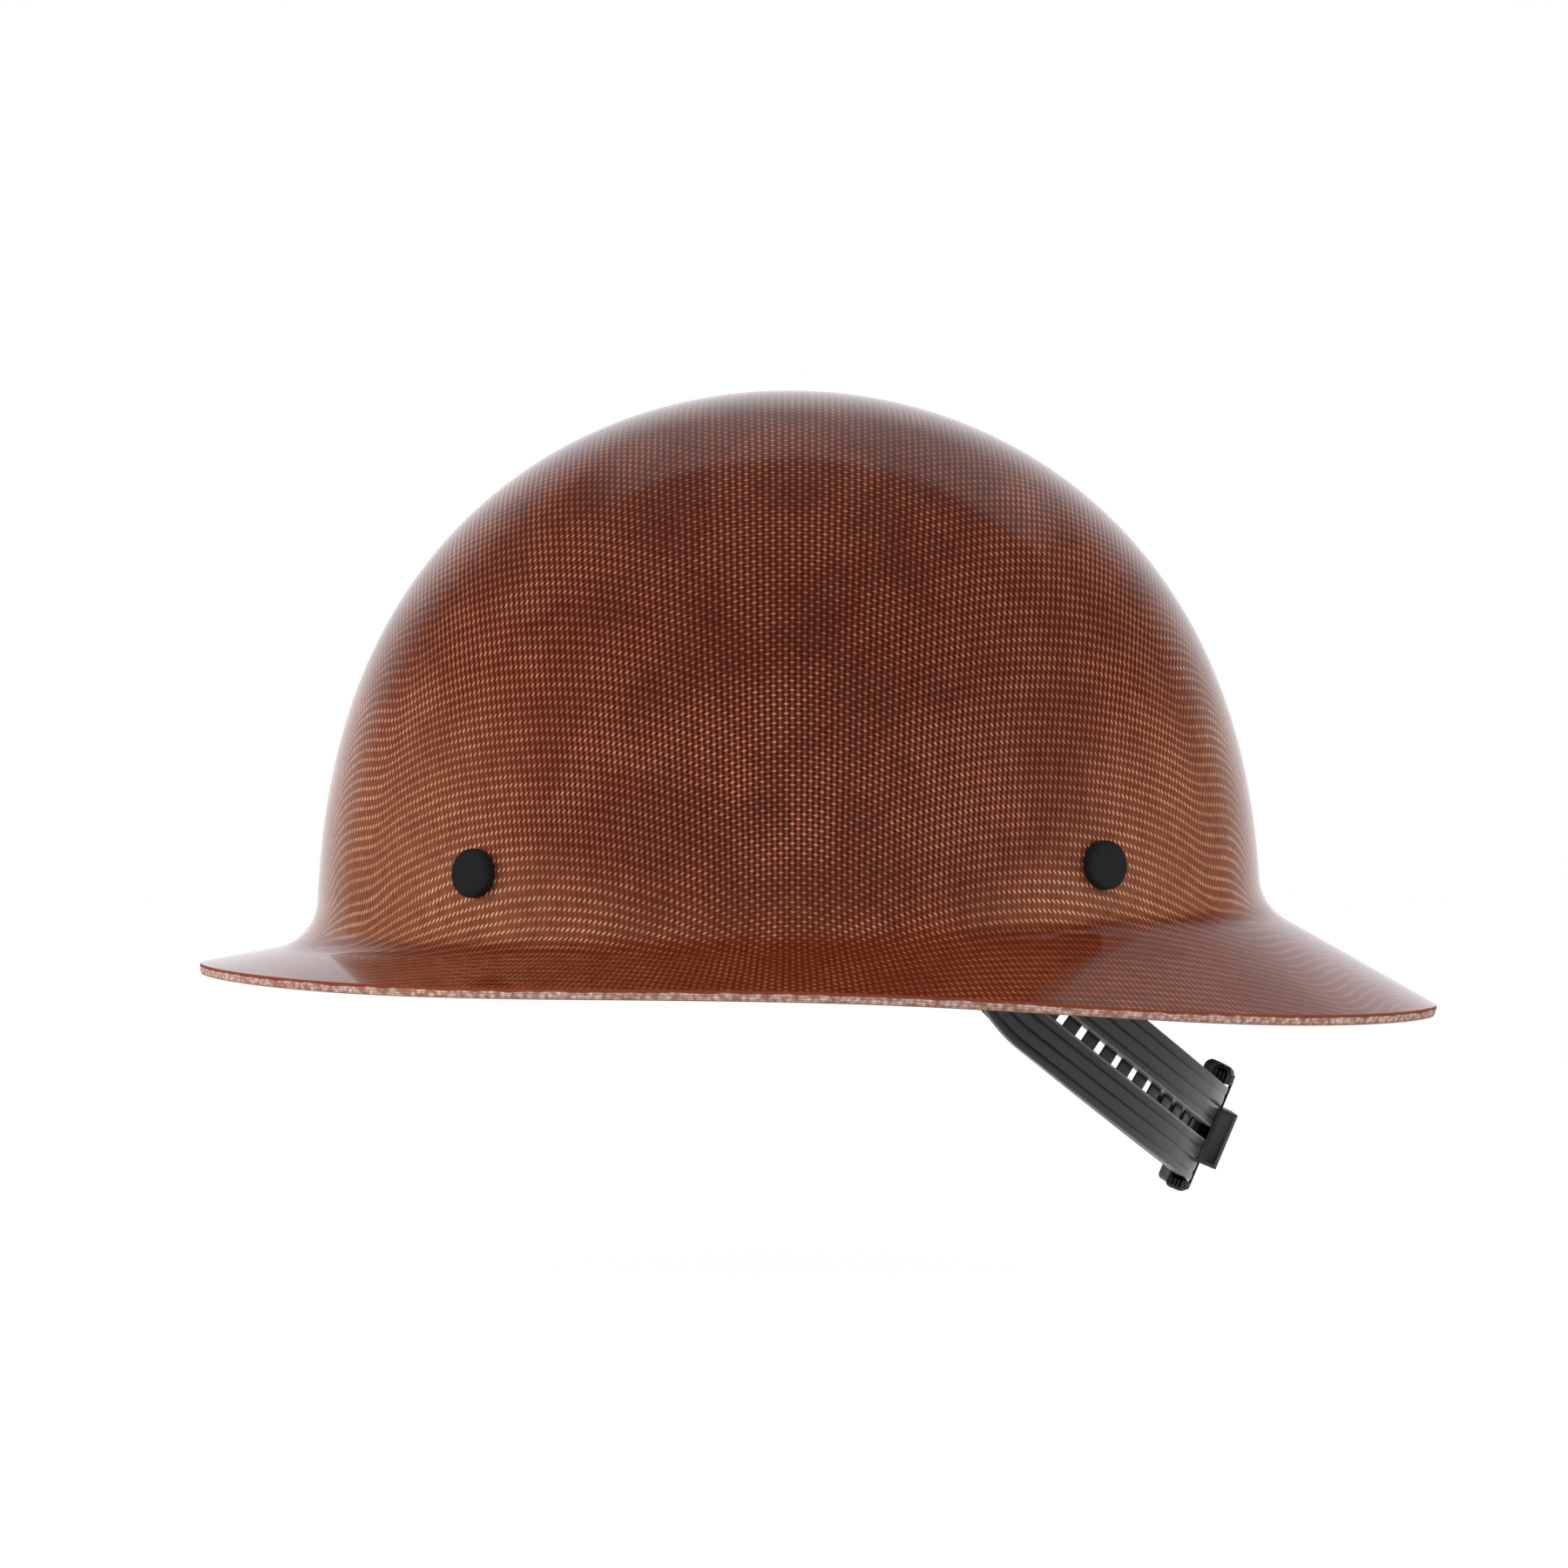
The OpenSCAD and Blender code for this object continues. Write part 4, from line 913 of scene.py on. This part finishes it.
class HAT_OT_nape_straps(bpy.types.Operator):
    """Nape straps: two railed bands that overlap at the nape, the inner one with a ladder of rungs"""
    bl_idname = "hat.nape_straps"
    bl_label = "Nape straps"

    def execute(self, context):
        place = strap_matrix()
        outer = railed_band("outer_nape_strap", 112, 1, [(22, 98)])
        outer = joined("outer_nape_strap", [outer, strap_eye()])
        outer.data.transform(place)
        inner = railed_band("inner_nape_strap", 162, -1, [(22, 64), (78.5, 159)])
        inner = joined("inner_nape_strap", [inner, strap_eye(), *rungs()])
        inner.data.transform(place @ Matrix.Diagonal((-1, 1, 1, 1)))
        inner.data.flip_normals()
        ends = [place @ Vector((0, y, 0)) for y in (6 * MM, sizes("strap").reach - 8.5 * MM)]
        for piece, node in ((outer, "nape_strap_left"), (inner, "nape_strap_right")):
            edited(piece, outwards)
            dressed(piece, None, [strap_plastic], node, 40)
            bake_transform(piece)
        return {"FINISHED"}


class HAT_OT_slide_lock(bpy.types.Operator):
    """Slide lock: guide, saddle, pin and lever"""
    bl_idname = "hat.slide_lock"
    bl_label = "Slide lock"

    def execute(self, context):
        self.guide()
        softened("lock_saddle", "saddle_moulded", "lock_body", black_plastic, 0.12 * MM)
        softened("lever_pin", "lever_pin_drawn", "lock_body", drawn_steel, 0.2 * MM)
        softened("lock_lever", "lever_moulded", "lever_body", lever_plastic, 0.35 * MM, 3)
        return {"FINISHED"}

    def guide(self):
        """The guide: a plate behind the ladder with a rounded finger grip over each edge, ribbed at the ends."""
        s = sizes("strap")
        back, seat, front = -3.2 * MM, -1.9 * MM, 1.9 * MM
        foot, low, high, top = -15.9 * MM, -12.95 * MM, 13.52 * MM, 17.9 * MM
        section = []
        for y, z, radius, first in ((back, foot, 1.3, 180), (front, foot, 1.3, 270), (front, low, 0, 0),
                                    (seat, low, 0, 0), (seat, high, 0, 0), (front, high, 0, 0), (front, top, 2.1, 0),
                                    (back, top, 2.1, 90)):
            r = radius * MM
            middle_y, middle_z = y + (r if y == back else -r), z + (r if z == foot else -r)
            for a in np.radians(first + 15 * np.arange(7 if radius else 1)):
                section.append((middle_y + r * math.cos(a), middle_z + r * math.sin(a)))
        curve, half, columns = s.half * s.half / s.reach, 16 * MM, 32

        def at(x, y, z):
            a = x / curve
            return (math.sin(a) * (curve + y), math.cos(a) * (curve + y) - curve, z)

        piece, i, j = grid("guide_moulded", columns, len(section))
        set_places(piece, [at(-half + 2 * half * a / columns, *section[b % len(section)]) for a, b in zip(i, j)])
        capped(piece)
        rounded(piece, 0.9 * MM, 3, 60)
        rib = added(bpy.ops.mesh.primitive_cylinder_add, "rib", vertices=12, radius=0.34 * MM, depth=1 * MM)
        spots = [at(side * (15.2 - 1.15 * k) * MM, front, 0) for side in (1, -1) for k in range(7)]
        spots += [at(side * (half + 0.02 * MM), y * MM, 0) for side in (1, -1) for y in (-1.9, -0.9, 0.1, 1.1)]
        ribs = copied(rib, [Matrix.Translation((x, y, (z0 + z1) / 2)) @ Matrix.Diagonal((1, 1, (z1 - z0) / MM, 1))
                            for z0, z1 in ((high + 0.3 * MM, top - 1.6 * MM), (foot + 1 * MM, low - 0.3 * MM))
                            for x, y, _ in spots])
        piece = joined("guide_moulded", [piece, *ribs])
        piece.data.transform(strap_matrix() @ strap_place(math.pi / 2))
        edited(piece, outwards)
        dressed(piece, "lock_body", [black_plastic], "lock_guide", 40)


class HAT_OT_suspension(bpy.types.Operator):
    """Headband, hangers, lugs, washers, studs and pivot pins"""
    bl_idname = "hat.suspension"
    bl_label = "Suspension mouldings"

    def execute(self, context):
        softened("headband", "headband_moulded", "suspension", grey_plastic, 0.35 * MM)
        for place in ("front_left", "front_right", "rear_left", "rear_right"):
            for kind, body in (("hanger", "suspension"), ("lug", "shell_body")):
                softened(f"{kind}_{place}", f"{kind}_{place}_moulded", body, grey_plastic, 0.3 * MM)
        softened("washers", "washers_pressed", "shell_body", fibre_board, 0.15 * MM)
        softened("brow_pad_studs", "pad_studs_moulded", "suspension", black_plastic, 0.3 * MM)
        for side in ("left", "right"):
            softened(f"pivot_pin_{side}", f"pivot_pin_{side}_moulded", "suspension", black_plastic, 0.4 * MM, 3)
        return {"FINISHED"}


# ---- Webbing and brow pad ----

def bar_place(side, end):
    """Middle of a hanger's webbing bar, from the CAD hanger's top."""
    name = f"hanger_{'rear' if end > 0 else 'front'}_{'left' if side > 0 else 'right'}"
    top_z, deep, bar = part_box(name)[1][2], 4 * MM, 2.6 * MM
    turn = Matrix.Diagonal((side, end, 1, 1)) @ Matrix.Rotation(sizes("shell").rivet_turn, 4, "Z")
    back = turn.inverted()
    local = np.array([back @ v.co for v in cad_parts[name].data.vertices])
    x, y, _ = local[local[:, 2] > top_z - deep].T
    return turn @ Vector((x.min() + bar, (y.min() + y.max()) / 2, top_z - bar))


class HAT_OT_webbing(bpy.types.Operator):
    """Crown webbing: two woven straps that cross over the head and are sewn round the hangers' bars"""
    bl_idname = "hat.webbing"
    bl_label = "Crown webbing"

    def execute(self, context):
        for node, side, lift in (("crown_strap_lower", 1, 0.0), ("crown_strap_upper", -1, 2.2 * MM)):
            self.strap(node, side, lift)
        return {"FINISHED"}

    def strap(self, node, side, lift):
        s = sizes("shell")
        front, rear = bar_place(side, -1), bar_place(-side, 1)
        thick, width, square, points, columns = 1.2 * MM, 19 * MM, 2.25, 120, 12
        loop = 1.6 * MM + 0.15 * MM + thick / 2
        across = Vector((front.x - rear.x, front.y - rear.y, 0))
        along, half = across.normalized(), across.length / 2
        flat = Vector((-along.y, along.x, 0))
        top = s.crown_height - s.wall - 38 * MM - thick / 2 + lift
        start = math.asin((loop / (top - rear.z)) ** (square / 2))
        middle = (front + rear) / 2
        spine = []
        for k in range(points + 1):
            v = start + (math.pi - 2 * start) * k / points
            c = math.cos(v)
            foot = middle.z + (front.z - rear.z) / 2 * c
            spine.append(Vector((middle.x, middle.y, foot)) + along * half * math.copysign(abs(c) ** (2 / square), c)
                         + UP * (top - foot) * math.sin(v) ** (2 / square))
        path = self.tail(spine, front, along, loop)[::-1] + spine + self.tail(spine[::-1], rear, -along, loop)
        piece, i, j = grid(node + "_woven", len(path) - 1, columns)
        run = run_length(np.array(path))
        off = width * (j / columns - 0.5)
        set_places(piece, np.array(path)[i] + np.outer(off, flat))
        set_uv(piece, "strap", np.stack([run[i], off], 1))
        applied(piece, "SOLIDIFY", thickness=0.92 * thick, offset=0, use_even_offset=True)
        rounded(piece, 0.3 * MM, 2, 50)
        edited(piece, merge, outwards)
        piece.data.materials.append(finish(webbing_cloth))
        stitches = self.stitches(spine, flat, thick) + self.stitches(spine[::-1], flat, thick)
        piece = joined(node + "_woven", [piece, *stitches])
        dressed(piece, "suspension", [webbing_cloth, stitch_thread], node, 50)

    def tail(self, spine, bar, along, loop):
        """The webbing's way round the bar and back under itself, from the spine's first point."""
        gap, lap, turns = 1.25 * MM, 24 * MM, math.radians(250)
        first = spine[0] - bar
        begin = math.atan2(first.z, first.dot(along))
        points = []
        for k in range(1, 21):
            turn = begin - turns * k / 20
            points.append(bar + along * loop * math.cos(turn) + UP * loop * math.sin(turn))
        for k in range(3, 28):
            here = spine[k]
            inward = UP.cross(along).cross((spine[k + 1] - here).normalized()).normalized()
            points.append(here - inward * math.copysign(gap, inward.z))
            if (here - bar).length > lap:
                break
        return points

    def stitches(self, spine, flat, thick):
        """A box of stitches on the sewn lap at the spine's first end, one stitch modelled and copied."""
        stitch = added(bpy.ops.mesh.primitive_uv_sphere_add, "stitch", segments=8, ring_count=6, radius=0.5 * MM)
        stitch.data.materials.append(finish(stitch_thread))
        far = [(point - spine[0]).length for point in spine]
        spots = [(near, across, True) for near in (6, 18) for across in np.arange(-7, 7.1, 2)]
        spots += [(near, across, False) for near in (8, 10, 12, 14, 16) for across in (-7, 7)]
        places = []
        for near, across, turned in spots:
            k = next(n for n, value in enumerate(far) if value > near * MM)
            ahead = (spine[k + 1] - spine[k - 1]).normalized()
            up = ahead.cross(flat).normalized()
            up = up if up.z > 0 else -up
            long, wide = (flat, ahead) if turned else (ahead, flat)
            spot = spine[k] + flat * across * MM + up * (thick / 2 - 0.02 * MM)
            places.append(matrix_of(long * 1.5, wide * 0.5, up * 0.36, spot))
        return copied(stitch, places)


class HAT_OT_brow_pad(bpy.types.Operator):
    """Brow pad: a soft padded band on the headband's inside"""
    bl_idname = "hat.brow_pad"
    bl_label = "Brow pad"

    def execute(self, context):
        half_length, half_width = 95.7 * MM, 76.7 * MM
        low, high, reach, taper = -1.5 * MM, 33 * MM, 62, 9    # the band's ends in degrees from the front
        deep = 4.2 * MM
        around, section = 96, 28
        piece, i, j = grid("brow_pad_sewn", around, section)
        places = []
        for a, b in zip(i, j):
            t = math.radians(-reach + 2 * reach * a / around)
            end = min(1, (reach - abs(math.degrees(t))) / taper)
            plump = 0.35 if end <= 0 else 0.35 + 0.65 * (1 - (1 - end) ** 2) ** 0.5
            v = 2 * math.pi * b / section
            across = math.copysign(abs(math.cos(v)) ** 0.55, math.cos(v))
            up = math.copysign(abs(math.sin(v)) ** 0.35, math.sin(v))
            inner = deep / 2 * (1 + across * plump)
            z = (low + high) / 2 + (high - low) / 2 * up * (0.9 + 0.1 * plump)
            places.append(((half_width - inner) * math.sin(t), -(half_length - inner) * math.cos(t), z))
        set_places(piece, places)
        capped(piece)
        self.plump(piece, half_length, half_width, low, high)
        self.sew(piece, half_length, half_width, (low + high) / 2)
        dressed(piece, "suspension", [pad_cloth], "brow_pad", 60)
        return {"FINISHED"}

    def plump(self, piece, half_length, half_width, low, high):
        """Swells the pad as cloth under pressure, held by the headband and by the CAD pad's height."""
        moments, swell, over = 20, 0.9 * MM, 0.3 * MM
        alone(piece)
        piece.data.remesh_voxel_size = 1.6 * MM
        bpy.ops.object.voxel_remesh()
        start = places_of(piece)
        cloth = piece.modifiers.new("cloth", "CLOTH")
        cloth.settings.use_pressure = True
        cloth.settings.uniform_pressure_force = 4
        cloth.settings.effector_weights.gravity = 0
        cloth.point_cache.frame_end = moments
        for moment in range(moments):
            bpy.context.scene.frame_set(moment + 1)
        bpy.ops.object.modifier_apply(modifier=cloth.name)
        bpy.context.scene.frame_set(1)
        moved = places_of(piece) - start
        far = np.linalg.norm(moved, axis=1, keepdims=True)
        now = start + moved * np.minimum(1, swell / np.maximum(far, 1e-9))
        reach = np.hypot(now[:, 0] / half_width, now[:, 1] / half_length)[:, None]
        now[:, :2] /= np.maximum(reach, 1)
        now[:, 2] = np.clip(now[:, 2], low - over, high + over)
        set_places(piece, now)
        applied(piece, "SUBSURF", levels=1, render_levels=1)

    def sew(self, piece, half_length, half_width, middle):
        """Presses a seam along the inner face, and a stitch every few millimetres into it."""
        press, seam, around = 0.9 * MM, 1.5 * MM, 150
        now = places_of(piece)
        reach = np.hypot(now[:, 0] / half_width, now[:, 1] / half_length)
        inside = np.clip((0.985 - reach) / 0.02, 0, 1)
        turn = np.arctan2(now[:, 0] / half_width, -now[:, 1] / half_length)
        stitch = 0.8 + 0.2 * np.cos(turn * around)
        depth = press * inside * stitch * np.exp(-((now[:, 2] - middle) / seam) ** 2)
        now[:, :2] *= (1 + depth / (half_width * np.maximum(reach, 0.5)))[:, None]
        set_places(piece, now)


# ---- Stage ----

class HAT_OT_stage(bpy.types.Operator):
    """Pale floor, soft studio lamps, white surround and the camera"""
    bl_idname = "hat.stage"
    bl_label = "Stage"

    def execute(self, context):
        self.floor()
        self.lamps()
        self.surround()
        self.camera()
        return {"FINISHED"}

    def floor(self):
        """A floor that shows white, takes the hat's shadow and light, and is clear from below."""
        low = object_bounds()[0].z - 22 * MM    # clear of the strap's lock when it swings down
        plane = added(bpy.ops.mesh.primitive_plane_add, "studio_floor", size=12, location=(0, 0, low))
        r = Tree(bpy.data.materials.new("pale_floor"))
        rays = r.node("LightPath").outputs
        seen = r.larger(rays["Is Camera Ray"], r.larger(rays["Is Glossy Ray"], rays["Is Transmission Ray"]))
        tint = sizes("colours").floor
        base = r.mix(r.smooth(r.noise(8, 2.0), 0.3, 0.7), tint, times(0.99, tint))
        plain = r.value("BsdfDiffuse", 0, {"Color": base})
        faint = r.value("BsdfDiffuse", 0, {"Color": (0.04, 0.04, 0.04)})
        glow = r.value("Emission", 0, {"Color": WHITE, "Strength": 0.985})
        above = r.either(seen, plain, r.value("AddShader", 0, {0: faint, 1: glow}))
        r.end(r.either(r.node("NewGeometry").outputs["Backfacing"], above, r.value("BsdfTransparent", 0)))
        plane.data.materials.append(r.owner)
        plane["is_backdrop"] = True

    def lamps(self):
        for name, place, size, power in (
                ("front_box", (0.40, -1.15, 0.16), (0.9, 0.6), 14.5),
                ("rear_box", (0.45, 1.1, 0.28), (0.9, 0.7), 8.0),
                ("top_box", (-0.25, 0.0, 1.2), (0.9, 1.4), 14.5),
                ("fill_box", (1.4, 0.1, 0.5), (0.8, 0.8), 5.0)):
            light = bpy.data.lights.new(name, "AREA")
            light.shape, light.size, light.size_y, light.energy = "RECTANGLE", *size, power
            lamp = linked(name, light)
            lamp.location = place
            lamp.rotation_euler = (Vector((0, 0, 0.06)) - lamp.location).to_track_quat("-Z", "Y").to_euler()
            lamp.visible_glossy = False

    def surround(self):
        """White behind and above the hat, in view and in its gloss, and a dimmer room in front."""
        r = Tree(bpy.data.worlds.new("studio"))
        bpy.context.scene.world = r.owner
        rays = r.node("LightPath").outputs
        x, y, z = r.axes(r.value("TexCoord", "Generated"))
        behind, rise = x * -1.0, r.larger(z, 0.001)
        box = r.smooth(behind / rise, 0.25, 0.36) * r.smooth(abs(y / rise - 0.18), 0.78, 0.55) * 0.45
        drop = r.smooth(behind, 0.50, 0.97) * 1.1
        soft = r.value("Background", 0, {"Color": WHITE, "Strength": 0.35})
        gloss = r.value("Background", 0, {"Color": (0.97, 0.96, 1.0), "Strength": r.larger(box, drop) + 0.05})
        shiny = r.larger(rays["Is Glossy Ray"], rays["Is Transmission Ray"])
        white = r.value("Background", 0, {"Color": WHITE, "Strength": 1.0})
        r.end(r.either(rays["Is Camera Ray"], r.either(shiny, soft, gloss), white), "OutputWorld")

    def camera(self):
        distance, view_width, sensor = 1.5, 0.40122, 36
        data = bpy.data.cameras.new("camera")
        data.sensor_width, data.lens = sensor, sensor * distance / view_width
        data.clip_start, data.clip_end = 0.05, 50
        camera = linked("camera", data)
        camera.location = (distance, -0.0013, 0.0472)
        camera.rotation_euler = Vector((-1, 0, 0)).to_track_quat("-Z", "Y").to_euler()
        bpy.context.scene.camera = camera


class HAT_PT_panel(bpy.types.Panel):
    """Sidebar panel that lists the hat's pieces"""
    bl_idname = "HAT_PT_panel"
    bl_label = "Hard hat"
    bl_space_type = "VIEW_3D"
    bl_region_type = "UI"
    bl_category = "Hard hat"

    def draw(self, context):
        for operator in OPERATORS:
            self.layout.operator(operator.bl_idname)
        for name in GROUPS:
            group = getattr(context.scene, name)
            box = self.layout.box()
            for key in group.bl_rna.properties.keys():
                if key not in ("rna_type", "name"):
                    box.prop(group, key)


OPERATORS = (HAT_OT_shell, HAT_OT_rivets, HAT_OT_nape_straps, HAT_OT_slide_lock, HAT_OT_suspension,
             HAT_OT_webbing, HAT_OT_brow_pad, HAT_OT_stage)
GROUPS = {"hat_shell": HatShellSizes, "hat_cloth": HatClothSizes, "hat_strap": HatStrapSizes,
          "hat_colours": HatColours}


def register():
    for group in GROUPS.values():
        bpy.utils.register_class(group)
    for name, group in GROUPS.items():
        setattr(bpy.types.Scene, name, PointerProperty(type=group))
    for operator in OPERATORS:
        bpy.utils.register_class(operator)
    bpy.utils.register_class(HAT_PT_panel)


def unregister():
    bpy.utils.unregister_class(HAT_PT_panel)
    for operator in reversed(OPERATORS):
        bpy.utils.unregister_class(operator)
    for name, group in GROUPS.items():
        delattr(bpy.types.Scene, name)
        bpy.utils.unregister_class(group)


def main():
    register()
    bpy.context.scene.view_settings.view_transform = "Standard"
    for operator in OPERATORS:
        group, name = operator.bl_idname.split(".")
        getattr(getattr(bpy.ops, group), name)()


if __name__ == "__main__":
    main()
